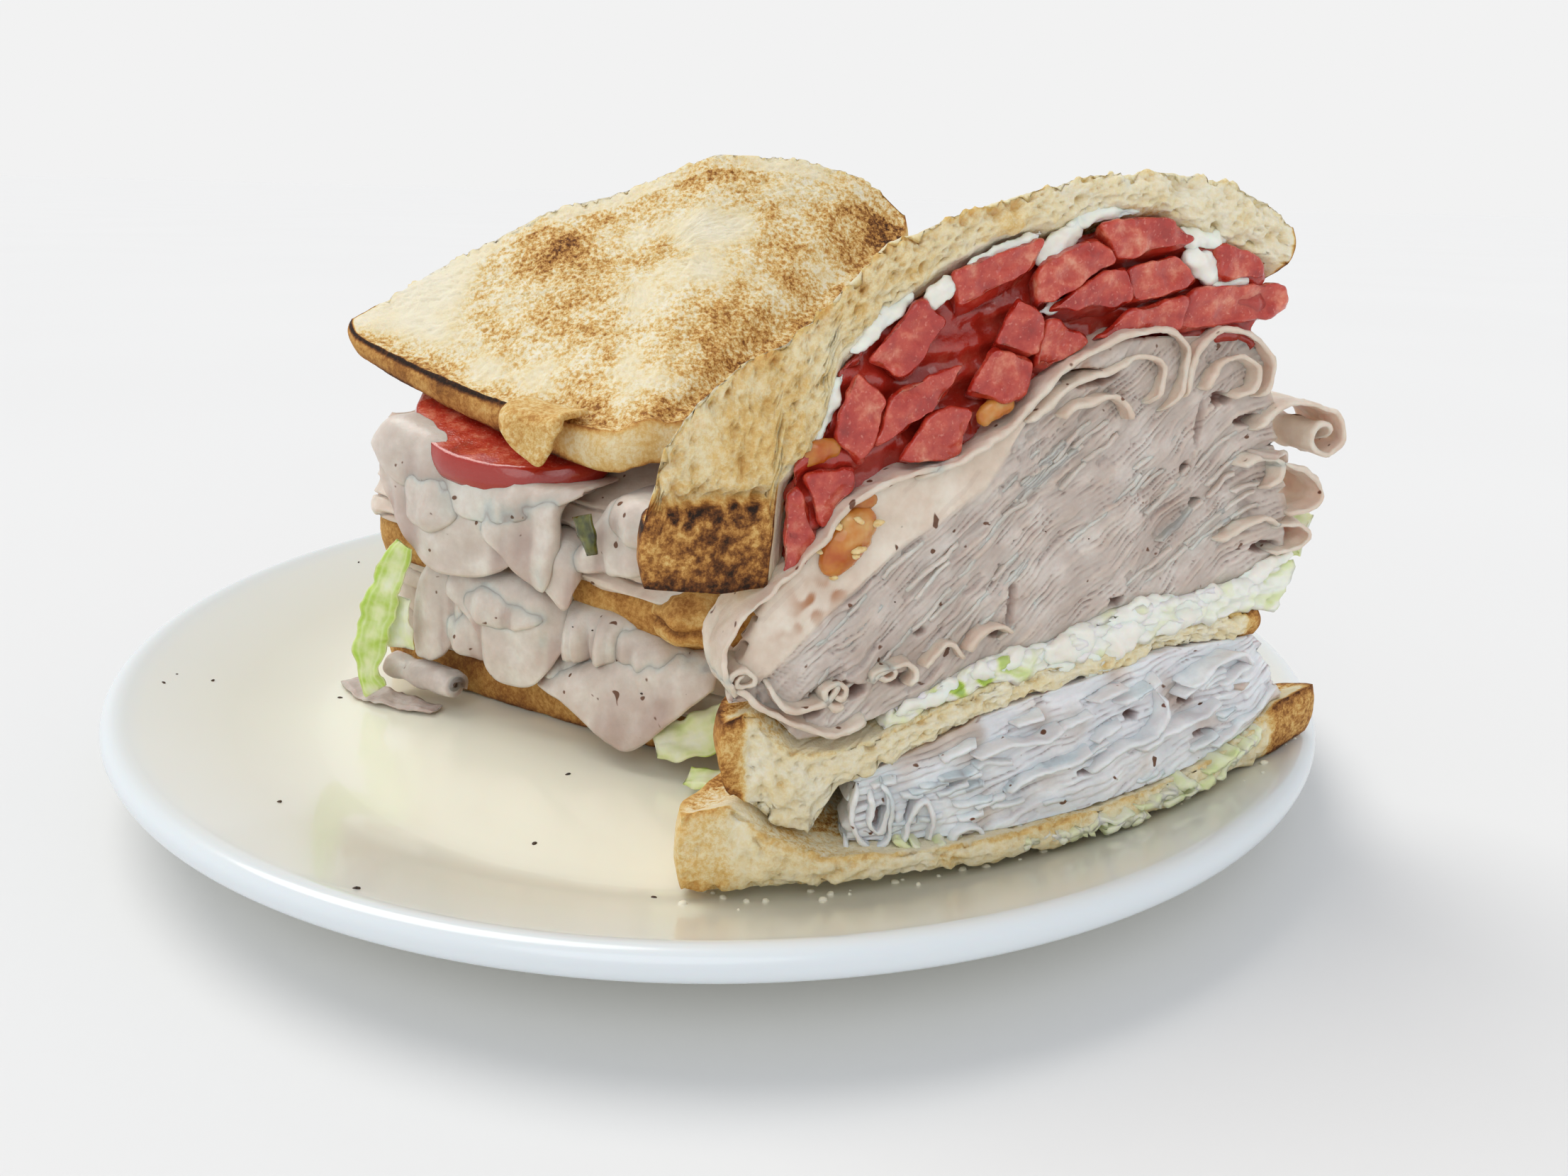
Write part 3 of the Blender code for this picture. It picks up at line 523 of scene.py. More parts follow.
# %% [markdown]
# ## Ripe tomato
#
# A cut tomato has wet, grainy red flesh with paler veins, and its skin, stored as "skin", is smoother
# and deeper red. A clear coat stands for the juice on the cut.

# %% Tomato finish
TOMATO, tree, shader, place = finish_named(
    "ripe_tomato_flesh", Roughness=0.24, Subsurface_Weight=0.45, Subsurface_Scale=0.003,
    Subsurface_Radius=(1.0, 0.25, 0.12), Coat_Weight=0.7, Coat_Roughness=0.09,
)
skin_share = add(tree, "ShaderNodeAttribute", attribute_name="skin").outputs["Fac"]
veins = add(tree, "ShaderNodeTexNoise",
            {"Vector": place, "Scale": 1000 / 5, "Detail": 4.0, "Roughness": 0.65})
flesh = add(tree, "ShaderNodeValToRGB", {0: veins.outputs[0]},
            stops=[(0.25, "8c170c"), (0.44, "b02a1b"), (0.56, "c24833"), (0.66, "d67a5f"), (0.78, "e8b496")])
cells = add(tree, "ShaderNodeTexNoise", {"Vector": place, "Scale": 1000 / 0.6, "Detail": 1.0})
cell_share = add(tree, "ShaderNodeMapRange", {0: cells.outputs[0], 1: 0.62, 2: 0.78, 3: 0.0, 4: 0.45})
red = flesh.outputs[0]
for share, over in ((cell_share.outputs[0], linear("e79a86")), (skin_share, linear("a8291c"))):
    red = add(tree, "ShaderNodeMix", {0: share, 6: red, 7: over}, data_type="RGBA").outputs[2]
bump = add(tree, "ShaderNodeBump", {"Height": cells.outputs[0], "Strength": 0.3, "Distance": 0.0003})
join(tree, shader, {"Base Color": red, "Normal": bump.outputs[0]})

# %% [markdown]
# ## Lettuce, pickle, mayonnaise, gel, seeds and pepper
#
# Iceberg lettuce is watery and nearly see-through, pale at the rib and yellow-green at its edge: its
# colour follows "green" and its fine veins follow "vein". The others are small and need one wandering
# colour each: glossy white mayonnaise, amber gel that lets light pass, seeds, pepper and pickle skin.

# %% Leaf and sauce finishes
LETTUCE, tree, shader, place = finish_named(
    "iceberg_lettuce_leaf", Roughness=0.35, Subsurface_Weight=0.4, Subsurface_Scale=0.002,
    Subsurface_Radius=(0.6, 1.0, 0.25), Specular_IOR_Level=0.5,
)
green, vein = (
    add(tree, "ShaderNodeAttribute", attribute_name=label).outputs["Fac"] for label in ("green", "vein"))
mottle = add(tree, "ShaderNodeTexNoise", {"Vector": place, "Scale": 1000 / 4, "Detail": 3.0})
mottle_share = add(tree, "ShaderNodeMapRange", {0: mottle.outputs[0], 1: 0.3, 2: 0.7, 3: -0.18, 4: 0.18})
greening = add(tree, "ShaderNodeMath", {0: green, 1: mottle_share.outputs[0]}, operation="ADD")
leaf = add(tree, "ShaderNodeValToRGB", {0: greening.outputs[0]},
           stops=[(0.0, "eff1e8"), (0.4, "dce4b0"), (0.7, "b6cf5c"), (1.0, "8bb034")])
veined = add(tree, "ShaderNodeMix", {0: vein, 6: leaf.outputs[0], 7: linear("edf0cf")}, data_type="RGBA")
bump = add(tree, "ShaderNodeBump", {"Height": mottle.outputs[0], "Strength": 0.3, "Distance": 0.0005})
join(tree, shader, {"Base Color": veined.outputs[2], "Normal": bump.outputs[0]})

PICKLE = mottled("dill_pickle_skin", 2, 2.0, [(0.3, "2f3413"), (0.7, "6d6f2a")], Roughness=0.25,
                 Subsurface_Weight=0.3, Subsurface_Scale=0.002, Coat_Weight=0.4)
MAYONNAISE = mottled("mayonnaise", 5, 3.0, [(0.3, "ece6da"), (0.7, "f8f5ee")], bump_depth=0.0006,
                     Roughness=0.28, Subsurface_Weight=0.35, Subsurface_Scale=0.003, Coat_Weight=0.2)
GEL = mottled("tomato_seed_gel", 4, 3.0, [(0.3, "c8641f"), (0.55, "e0933f"), (0.75, "efc27c")],
              Roughness=0.12, Subsurface_Weight=0.6, Subsurface_Scale=0.003,
              Subsurface_Radius=(1.0, 0.5, 0.1), Coat_Weight=0.6, Transmission_Weight=0.25, IOR=1.36)
SEED = mottled("tomato_seed", 0.8, 2.0, [(0.3, "d8b670"), (0.7, "f0dcab")], Roughness=0.3,
               Subsurface_Weight=0.3, Subsurface_Scale=0.001)
PEPPER = mottled("cracked_black_pepper", 0.5, 1.0, [(0.3, "1c1511"), (0.7, "5a4433")], Roughness=0.7)
print("finishes:", len(bpy.data.materials))

# %% [markdown]
# ## Camera, floor and light
#
# The camera stands where the photograph was taken from: about 30 cm away, a little above the food,
# with a wide lens, so the near half looms. Its place was fitted from the plate's ellipse. The floor is
# a pale plane that reaches to the horizon, under air of the same grey, so no edge shows. A lamp high
# on the left gives the soft shadow, and a weaker one in front lights the cut. Both are Sun lamps,
# which light the whole floor evenly, where a lamp near the plate would leave a bright pool.

# %% Camera
CAMERA_PLACE = Vector((0.0, -0.27836, 0.12219))
CAMERA_RIGHT = Vector((0.998700, -0.043816, 0.026042))
CAMERA_UP = Vector((-0.011107, 0.311568, 0.950159))
CAMERA_FORWARD = Vector((0.049746, 0.949213, -0.310676))
lens = bpy.data.cameras.new("photo_camera")
lens.lens = 27.667
lens.sensor_width = 36.0
lens.clip_start = 0.01
camera = new_object("photo_camera", lens)
turned = Matrix((CAMERA_RIGHT, CAMERA_UP, -CAMERA_FORWARD)).transposed()
camera.matrix_world = Matrix.Translation(CAMERA_PLACE) @ turned.to_4x4()
bpy.context.scene.camera = camera
print("camera", [round(c, 3) for c in CAMERA_PLACE], "lens", round(lens.lens, 1), "mm")

# %% Floor and light
FLOOR = mottled("matt_studio_floor", 1000 / 3, 1.0, [(0.3, "e8e9ea"), (0.7, "e9eaeb")], Roughness=1.0,
                Specular_IOR_Level=0.0)
FLOOR_REACH = 60000.0
corners = np.array([(x, y, 0.0) for x, y in ((-1, -1), (1, -1), (1, 1), (-1, 1))]) * FLOOR_REACH
floor = write_mesh("studio_floor", corners, [(0, 1, 2, 3)], FLOOR, inside_solid=False)


def far_lamp(name, comes_from, power, softness_deg, hex_colour="ffffff"):
    """A lamp so far away that it lights the whole floor evenly."""
    light = bpy.data.lights.new(name, "SUN")
    light.energy, light.angle = power, math.radians(softness_deg)
    light.color = linear(hex_colour)[:3]
    new_object(name, light).rotation_euler = Vector(comes_from).to_track_quat("Z", "Y").to_euler()


far_lamp("key_lamp", (-0.40, 0.30, 0.87), 1.36, 38, "fffaf2")
far_lamp("fill_lamp", (-0.16, -0.75, 0.60), 0.58, 45)
world = bpy.data.worlds.new("studio_air")
world.use_nodes = True
air = world.node_tree
looking = add(air, "ShaderNodeTexCoord").outputs["Generated"]
split = add(air, "ShaderNodeSeparateXYZ", {0: looking})
height_share = add(air, "ShaderNodeMapRange", {0: split.outputs["Z"], 1: 0.2, 2: 0.75})
sky = add(air, "ShaderNodeValToRGB", {0: height_share.outputs[0]},
          stops=[(0.0, "f2f2f2"), (1.0, "bcbec2")])
join(air, air.nodes["Background"], {"Color": sky.outputs[0]})
bpy.context.scene.world = world
bpy.context.scene.view_settings.view_transform = "Standard"

# %% [markdown]
# ## The plate
#
# A china plate is pressed against a spinning mould, so one profile turned round an axis is the whole
# shape. The solid's own profile is rounded between its points and turned in small steps. A Screw
# modifier would turn it too, but plain rings go through the same skin() as the food.

# %% Plate
PLATE_PROFILE = [
    (3.0, 5.5), (91.0, 5.5), (98.0, 6.8), (107.0, 10.1), (128.0, 19.5), (131.5, 21.3), (134.0, 20.6),
    (135.0, 18.3), (133.8, 15.5), (130.0, 14.1), (103.0, 3.8), (88.0, 1.9), (86.0, 0.0), (80.0, 0.0),
    (78.0, 2.0), (3.0, 2.0),
]
PLATE_STEPS = 240


def rounded(profile, times):
    """The same line with its corners cut, over and over, until they are round (Chaikin's way)."""
    line = np.array(profile, float)
    for _ in range(times):
        near, far = line[:-1] * 0.75 + line[1:] * 0.25, line[:-1] * 0.25 + line[1:] * 0.75
        middle = np.stack([near, far], axis=1).reshape(-1, line.shape[1])
        line = np.concatenate([line[:1], middle, line[-1:]])
    return line


profile = rounded(PLATE_PROFILE, 3)
turn = np.linspace(0, 2 * math.pi, PLATE_STEPS, endpoint=False)
plate_rings = np.stack(np.broadcast_arrays(
    profile[:, :1] * np.cos(turn), profile[:, :1] * np.sin(turn), profile[:, 1:]), axis=-1)
plate = dress(skin("china_plate", plate_rings, CHINA), "plate", slot="glazed_china")

# %% [markdown]
# ## Toast
#
# A half slice has three kinds of surface. The flat sides were against the toaster: dry, bumpy and
# browned in patches, which are a list of soft spots (u, n, radius, strength). The outer wall is crust:
# smooth and brown, darkest along its edges. The cut is torn crumb, pale and full of round pores. So
# one relief function finds which kind a point lies on, and gives it that depth and browning.

# %% Toast relief
CRUST_LENGTH = 215.0


def toast_piece(name, node, half, lower, upper, seed, base=0.3, spacing=0.8, levels=12, rings=24,
                pore_spacing=3.0, roughness=1.0, edge_char=0.3, own_ends=True, spots=(), scorched=(),
                notches=(), crust_end=lambda u, z: 0.0, crust_tone=lambda points, rise: 0.0,
                crumb_tone=lambda u, z: 0.0):
    """A half slice between two surfaces. On its wall, scorched places (u, z, width, height, strength) are
    darker and notches are sunk. crust_end tells how far the cut is crust, and the tones shift browning."""
    outline, on_cut = half.outline(int(2 * half.half_length / spacing), int(CRUST_LENGTH / spacing))
    rows, on_wall, wall_start, wall_end = layer_rings(outline, outline, lower, upper, rings, levels, puff=0.9)

    def relief(points, ring, place_index):
        wall = on_wall(ring)
        cut_side = wall & on_cut[place_index]
        u, n = half.local(points[:, 0], points[:, 1])
        drawn_u = FRONT_CUT.local(points[:, 0], points[:, 1])[0]
        rise = np.clip((ring - wall_start + 1) / (wall_end - wall_start + 1), 0, 1)
        top = ring > wall_end
        pores = pore_depth(points, pore_spacing, seed)
        small = pore_depth(points, pore_spacing * 0.45, seed + 5)
        lumps = layered(points, 9, 3, seed + 9)
        fine = layered(points, 2.2, 2, seed + 11)
        tiny = pore_depth(points, pore_spacing * 0.24, seed + 6)
        crumb = -2.0 * pores - 1.2 * small - 0.5 * tiny + 0.75 * lumps + 0.45 * fine
        face = 0.34 * lumps + 0.20 * fine - 0.45 * small - 0.22 * tiny
        crust = 0.22 * lumps + 0.05 * fine
        moved = np.where(cut_side, crumb * roughness, np.where(wall, crust, face))
        rim = np.minimum(ring, len(rows) - 1 - ring) / rings
        to_edge = (1 - np.clip(rim, 0, 1)) * half.depth * 0.5
        lee = ramp(np.where(cut_side | wall, 0.0, to_edge), 9.0, 0.5)
        away_from_cut = ramp(n, 2.0, 9.0)
        browned = base + 0.20 * layered(points, 20, 3, seed + 21) + 0.26 * lee * away_from_cut
        for spot_u, spot_n, radius, strength in spots:
            near = np.exp(-((u - spot_u) ** 2 + (n - spot_n) ** 2) / radius**2)
            browned = browned + strength * near * top
        browned = np.maximum(browned, 0.04) * np.where(n < 3, 0.55, 1.0)
        char = edge_char * np.clip(np.abs(rise - 0.5) * 2, 0, 1) ** 5
        crusty = 0.56 + 0.10 * lumps + char * (0.6 + 0.7 * noise(points, 14, seed + 31))
        crusty = crusty + crust_tone(points, rise)
        end = ramp(np.abs(u), half.half_length - 7.5, half.half_length - 4.5) * own_ends
        end = np.maximum(end, crust_end(drawn_u, points[:, 2]))
        # Pores are browned as well as sunk: painted shade in the pores.
        crumbly = 0.10 + 0.08 * lumps + 0.14 * pores + 0.09 * small + crumb_tone(drawn_u, points[:, 2])
        crumbly = crumbly + 0.14 * ramp(rise + 0.06 * lumps, 0.88, 1.0)
        crumbly = crumbly * (1 - end) + end * (0.54 + 0.07 * lumps + char)
        brown_value = np.where(cut_side, crumbly, np.where(wall, crusty, browned))
        moved = np.where(cut_side, moved * (1 - end) + crust * end, moved)
        flat = stacked(drawn_u, points[:, 2], 0)
        for spot_u, spot_z, wide, high, strength in scorched:
            near = np.exp(-((drawn_u - spot_u) / wide) ** 2 - ((points[:, 2] - spot_z) / high) ** 2)
            brown_value = brown_value + strength * near * wall * ramp(noise(flat, 2.0, seed + 41), -0.5, 0.4)
        for spot_u, spot_z, wide, high, depth in notches:
            near = np.exp(-((drawn_u - spot_u) / wide) ** 4 - ((points[:, 2] - spot_z) / high) ** 4)
            moved = moved - depth * near * wall * (1 + 0.5 * noise(flat, 2.5, seed + 42))
        grainy = np.where(cut_side, 0.30 + 0.3 * end, np.where(wall, 0.32, ramp(brown_value, 0.05, 0.3)))
        return moved, {"brown": np.clip(brown_value, 0, 1), "grainy": grainy}

    return dress(skin(name, rows, BREAD, relief), node, slot="toasted_bread")


# %% [markdown]
# ### The three slices of the front half
#
# The knife cut shows all three. The lid is thick, pale and torn, with a block of caramel crust at its
# left end. The middle slice is squeezed thin, and the bottom one is no more than a ragged skin.

# %% Front slices
FRONT_BOTTOM_THICKNESS = [
    (-72, 14.5), (-63, 16), (-56, 10), (-45, 5.5), (-20, 5), (10, 5.5), (27, 6), (40, 8), (46, 11), (58, 10),
]
FRONT_MIDDLE_UNDERSIDE = [
    (-66, 31), (-62, 22), (-56, 17), (-49, 17), (-44, 25), (-30, 30.5), (-18, 35.5), (-8, 38.5), (20, 44),
    (42, 44.5),
]
FRONT_MIDDLE_TOP = [
    (-66, 39), (-61, 41), (-53, 33), (-45, 32.5), (-38, 33.8), (-20, 40), (-10, 43), (0, 43.5), (20, 48.5),
    (42, 49.5),
]
FRONT_LETTUCE_TOP = [
    (-60, 43), (-52, 35), (-38, 37), (-30, 40), (-20, 45), (-5, 47.5), (8, 52.5), (20, 53.5), (30, 55),
    (46, 58.5),
]
FRONT_HEAP_TOP = [
    (-68, 57), (-57, 61), (-49, 69), (-45, 76), (-35, 79.5), (-27, 80.5), (-20, 84.5), (-14, 88.5), (-10, 94),
    (0, 100), (12, 101), (28, 101), (35, 97), (57, 80),
]
FRONT_LID_UNDERSIDE = [
    (-78, 64), (-66, 62), (-58, 62.5), (-56.5, 79), (-49.5, 88), (-47, 98.5), (-40, 105.5), (-31, 112),
    (-20, 117.5), (-10, 119.5), (0, 122), (8, 122), (20, 118), (36, 113),
]
FRONT_LID_TOP = [
    (-78, 74), (-75, 86), (-70, 92.5), (-63, 98), (-56, 101), (-50, 106), (-40, 115.5), (-30, 119.5),
    (-17, 123.5), (-5, 126.5), (10, 127.5), (22, 126), (30, 123), (36, 119),
]
front_bottom_top = raised(plate_bed, draped(FRONT_CUT, FRONT_BOTTOM_THICKNESS, 12.0))
front_middle_low = clear_of(draped(FRONT_CUT, FRONT_MIDDLE_UNDERSIDE, 33.0), front_bottom_top, 1.5)
front_middle_top = clear_of(draped(FRONT_CUT, FRONT_MIDDLE_TOP, 45.0), front_middle_low, 4.0)
front_lettuce_top = clear_of(draped(FRONT_CUT, FRONT_LETTUCE_TOP, 48.0), front_middle_top, 1.5)
front_heap_top = draped(FRONT_CUT, FRONT_HEAP_TOP, 64.0)
front_lid_low = clear_of(draped(FRONT_CUT, FRONT_LID_UNDERSIDE, 68.0), front_heap_top, 1.5)
front_lid_top = clear_of(draped(FRONT_CUT, FRONT_LID_TOP, 80.0), front_lid_low, 5.0)

toast_piece(
    "front_bottom_slice", "front_bottom_toast", FRONT_CUT.spanning(-72, 58, bow=9), plate_bed,
    front_bottom_top, seed=1, own_ends=False,
    crust_end=lambda u, z: np.maximum(ramp(u, 44, 47), 0.35 * ramp(u, -62, -66)),
    crust_tone=lambda points, rise: -0.28 * ramp(points[:, 0], 60, 0), crumb_tone=lambda u, z: 0.04,
)
toast_piece(
    "front_middle_slice", "front_middle_toast", FRONT_CUT.spanning(-65, 41, 70, bow=2), front_middle_low,
    front_middle_top, seed=4, levels=24, spacing=0.6, pore_spacing=2.6, roughness=1.1, own_ends=False,
    crust_end=lambda u, z: ramp(u, -60.5, -62.5) * 0.9 + ramp(u, 37, 39) * 0.7,
    notches=[(-59, 22, 5, 1.0, 1.5)],
)
toast_piece(
    "front_top_slice", "front_top_toast", FRONT_CUT.spanning(-78, 36, 66), front_lid_low, front_lid_top,
    seed=7, base=0.22, levels=34, spacing=0.5, rings=50, pore_spacing=3.2, edge_char=0.35, roughness=1.15,
    own_ends=False, crust_end=lambda u, z: ramp(z, 77.5, 76) * ramp(u, -54, -57),
    scorched=[(-68, 69, 13, 7, 0.24), (-73, 75, 4.5, 1.6, 0.5), (-63, 75.5, 4.5, 1.6, 0.5),
              (-68, 62.5, 9, 0.8, 0.3)],
    notches=[(-67, 77.6, 12, 0.9, 2.2)], crust_tone=lambda points, rise: 0.12,
    crumb_tone=lambda u, z: 0.13 * ramp(u, 5, -35) + 0.04 * ramp(u, -40, -60) - 0.05 * ramp(u, -5, 15),
)

# %% [markdown]
# ### The three slices of the rear half
#
# The lid is the most browned thing in the picture: pale at its front left, gold down its middle and
# right, and nearly black where its crust edge touched the element. The crusts are seen from outside.

# %% Rear slices
REAR_CUT = HalfSlice(-15.0, 26.0, 194.9)
REAR_BASE = HalfSlice(-17.0, 24.0, 189.0, 68.0, 63.0)
REAR_LID = HalfSlice(-23.0, 27.5, 185.5, 67.3, 62.0)
REAR_LID_TOP = [(-67, 118), (-55, 127), (-40, 130.5), (-20, 131), (0, 122.5), (20, 117), (45, 104), (67, 91)]
REAR_LID_THICKNESS = [(-67, -9), (-40, -12), (10, -12), (35, -10), (56, -8), (67, -4)]
TOMATO_THICKNESS = 6.0

rear_bottom_top = raised(plate_bed, draped(REAR_BASE, [(-68, 12), (0, 10), (68, 10)], 9.0))
rear_middle_low = draped(REAR_CUT, [(-72, 44), (0, 50), (72, 38)], 31.0)
rear_middle_top = raised(rear_middle_low, draped(REAR_CUT, [(-72, 10), (0, 9), (72, 10)], 10.0))
rear_lid_top = draped(REAR_LID, REAR_LID_TOP, 75.0, bow=-3.0)
rear_lid_low = raised(rear_lid_top, draped(REAR_LID, REAR_LID_THICKNESS, -9.0))
rear_heap_top = raised(rear_lid_low, -TOMATO_THICKNESS - 4.0)


def leg_frame(start, end):
    """A crust side's start, its direction and its outward direction, on the plate."""
    start, end = np.array(start, float), np.array(end, float)
    along = (end - start) / np.linalg.norm(end - start)
    return start, along, np.array((along[1], -along[0]))


SEEN_LEG = leg_frame((-90, 6), (5, -49))


def along_seen_side(points):
    """How far each point is from the rear half's left corner, along the side that faces the camera."""
    start, along, _ = SEEN_LEG
    return (points[:, :2] - start) @ along


toast_piece("rear_bottom_slice", "rear_bottom_toast", REAR_BASE, plate_bed, rear_bottom_top, seed=11)
toast_piece(
    "rear_middle_slice", "rear_middle_toast", REAR_CUT.spanning(-66, 70, 72), rear_middle_low,
    rear_middle_top, seed=14, base=0.35,
)
toast_piece(
    "rear_top_slice", "rear_top_toast", REAR_LID, rear_lid_low, rear_lid_top, seed=17, base=0.19,
    levels=16, spacing=0.55, rings=70, edge_char=0.6,
    spots=[(11, 8, 9, 0.22), (20, 16, 9, 0.20), (31, 4, 6, 0.16), (-15, 40, 11, 0.09), (-7, 47, 8, 0.11),
           (-26, 33, 9, 0.09), (-34, 22, 8, 0.13), (-45, 6, 8, 0.24), (-18, 3, 5, 0.22), (-56, 0, 7, 0.34),
           (-62, 3, 5, 0.3), (0, 60, 7, 0.18), (19, 50, 5, 0.10), (-19, 50, 8, 0.11), (-12, 31, 8, 0.08),
           (38, 20, 14, -0.10), (46, 5, 10, -0.10), (-25, 12, 10, -0.08), (30, 35, 12, -0.10)],
    crust_tone=lambda points, rise: -0.30 * ramp(along_seen_side(points), 58, 72)
    + 0.5 * ramp(rise, 0.72, 0.95) * ramp(along_seen_side(points), 52, 36),
)

# %% [markdown]
# ## Heaps of shaved turkey
#
# A heap is dozens of folded slices. Where the knife went through, their edges make fine, broken strata
# that rise to the right, with short cracks and dark pockets, sunk and darkened with painted shade. Every
# slice as a mesh would take millions of faces, so the heap is one closed skin and its relief draws the
# strata: each point finds which slice it is on, how far along it and how near its edge. Each slice
# stands out a little more or less than the next, and the crack between two opens and closes. On the
# uncut sides they lie in soft thick folds, with painted shade in their hollows.

# %% Turkey relief
def heap_of_meat(name, node, low_half, high_half, lower, upper, seed, stratum, levels, pitch=1.1,
                 cut_count=250, rest_count=210, pockets=(), side_pockets=(), roast_spots=(),
                 outer_sheet=None, cool=0.0):
    """A heap between two surfaces. Its slices follow the stratum, a line of (u, z), and lie pitch apart.
    outer_sheet(u, z) tells where one whole slice covers the cut, and cool how much mayonnaise does."""
    block_pitch, crack_width, fold_pitch = 6.2, 0.34, 5.2
    low_outline, on_cut = low_half.outline(cut_count, rest_count)
    high_outline, _ = high_half.outline(cut_count, rest_count)
    rows, on_wall, wall_start, wall_end = layer_rings(
        low_outline, high_outline, lower, upper, rings=24, levels=levels)
    frame_half = FRONT_CUT if low_half.turn_deg == FRONT_CUT.turn_deg else low_half

    def relief(points, ring, place_index):
        wall = on_wall(ring)
        u, n = frame_half.local(points[:, 0], points[:, 1])
        z = points[:, 2]
        cut_side = wall & on_cut[place_index]
        flat = stacked(u, z, 0)
        bend = 2.2 * layered(flat, 30, 2, seed) + 0.45 * noise(flat, 9, seed + 3)
        bend = bend + 0.12 * noise(flat, 3, seed + 4)
        across = (z - read_off(stratum, u)) * 0.78 + bend
        run = u * 0.8 + 0.6 * z
        step = across / pitch + 0.35 * noise(stacked(run, across, 0), 4.0, seed + 2)
        slice_number = np.floor(step)
        inside = step - slice_number
        own = stacked(run, slice_number * 31.7, seed)
        stand = 0.30 * noise(own, 9.0, seed + 5) + 0.14 * noise(own, 2.6, seed + 6)
        block = np.floor(across / block_pitch + 0.6 * noise(flat, 14, seed + 19))
        block_own = stacked(run, block * 41.3, seed)
        stand = stand + 0.75 * noise(block_own, 19.0, seed + 20)
        torn = np.where(noise(own, 11.0, seed + 7) > 0.5, -0.55, 0.0)
        gap = 1 - ramp(np.minimum(inside, 1 - inside) * pitch, 0.0, crack_width)
        opened = np.clip(0.12 + 1.25 * noise(own, 6.5, seed + 8), 0.06, 1.2)
        broad = 1.1 * layered(points, 15, 2, seed + 9)
        fibre = 0.11 * noise(stacked(run * 0.22, across * 2.4, n * 0.3), 1.2, seed + 10)
        fibre = fibre + 0.06 * noise(stacked(run * 0.6, across * 3.0, n), 0.9, seed + 21)
        strata = stand + torn - 0.95 * gap * opened + broad + fibre
        pocket = np.zeros_like(u)
        for pu, pz, wide, high, deep in pockets:
            away = ((u - pu) / wide) ** 2 + ((z - pz) / high) ** 2 + 0.5 * noise(flat, 1.6, seed + 22)
            pocket = np.maximum(pocket, deep * (1 - ramp(away, 0.2, 1.2)))
        pocket = pocket * cut_side
        for px, py, pz, radius, deep in side_pockets:
            away = np.linalg.norm(points - (px, py, pz), axis=1) / radius
            pocket = np.maximum(pocket, deep * (1 - ramp(away, 0.4, 1.1)))
        level = z + 4.2 * layered(points * (1, 1, 0.3), 24, 2, seed + 11) + 1.0 * noise(points, 9, seed + 12)
        level = level + 3.0 * noise(points * (0.2, 0.2, 1), 11, seed + 17)
        fold_number = np.floor(level / fold_pitch)
        fold_inside = level / fold_pitch - fold_number
        fold_own = stacked(points[:, 0], points[:, 1], fold_number * 37.1)
        hang = 1.5 * noise(fold_own, 16.0, seed + 13) + 1.2 * (1 - fold_inside) ** 2
        hang -= 1.5 * (1 - ramp(np.minimum(fold_inside, 1 - fold_inside) * fold_pitch, 0.0, 0.8))
        sides = hang + 0.25 * layered(points, 6, 2, seed + 14)
        moved = np.where(cut_side, strata, np.where(wall, sides, 0.5 * layered(points, 7, 2, seed + 15)))
        edge = np.clip(np.minimum(ring - wall_start + 1, wall_end - ring) / 6, 0, 1)
        moved = np.where(wall, moved * (0.35 + 0.65 * edge), moved)
        pale = np.where(cut_side, 0.12 + 0.35 * np.clip(noise(own, 9.0, seed + 5), 0, 1), 0.75)
        if outer_sheet:
            calm = outer_sheet(u, z) * cut_side
            moved = moved * (1 - calm) + calm * (0.7 + 0.45 * layered(points, 10, 3, seed + 16))
            gap = gap * (1 - calm)
            pale = np.maximum(pale, calm)
        moved = moved - pocket
        # Painted shade: cracks between slices, torn and sunk places, pockets and the hollows of the side
        # folds are darkened, and the top a little.
        deep = np.where(cut_side, 0.6 * gap * opened - 0.2 * torn + 0.12 * np.clip(-broad, 0, 1),
                        np.where(wall, 0.35 * ramp(-sides, 0.2, 2.2), 0.1))
        deep = deep + 0.9 * np.clip(pocket / 3, 0, 1)
        roast = np.zeros_like(u)
        for ru, rz, radius, strength in roast_spots:
            near = np.exp(-((u - ru) ** 2 + (z - rz) ** 2) / radius**2)
            roast = np.maximum(roast, strength * near * ramp(noise(points, 2.4, seed + 18), -0.3, 0.3))
        smeared = cool * ramp(layered(flat, 13, 2, seed + 23), -0.75, -0.05)
        return moved, {"deep": np.clip(deep, 0, 1), "roast": np.clip(roast, 0, 1),
                       "pale": np.clip(pale, 0, 1), "cool": smeared}

    return dress(skin(name, rows, TURKEY, relief), node, slot="roast_turkey")


# %% [markdown]
# ### The four heaps
#
# Each half has two. In the front half the strata and the dark pockets follow the picture. The rear
# half's cut faces away, so its slices simply lie level.

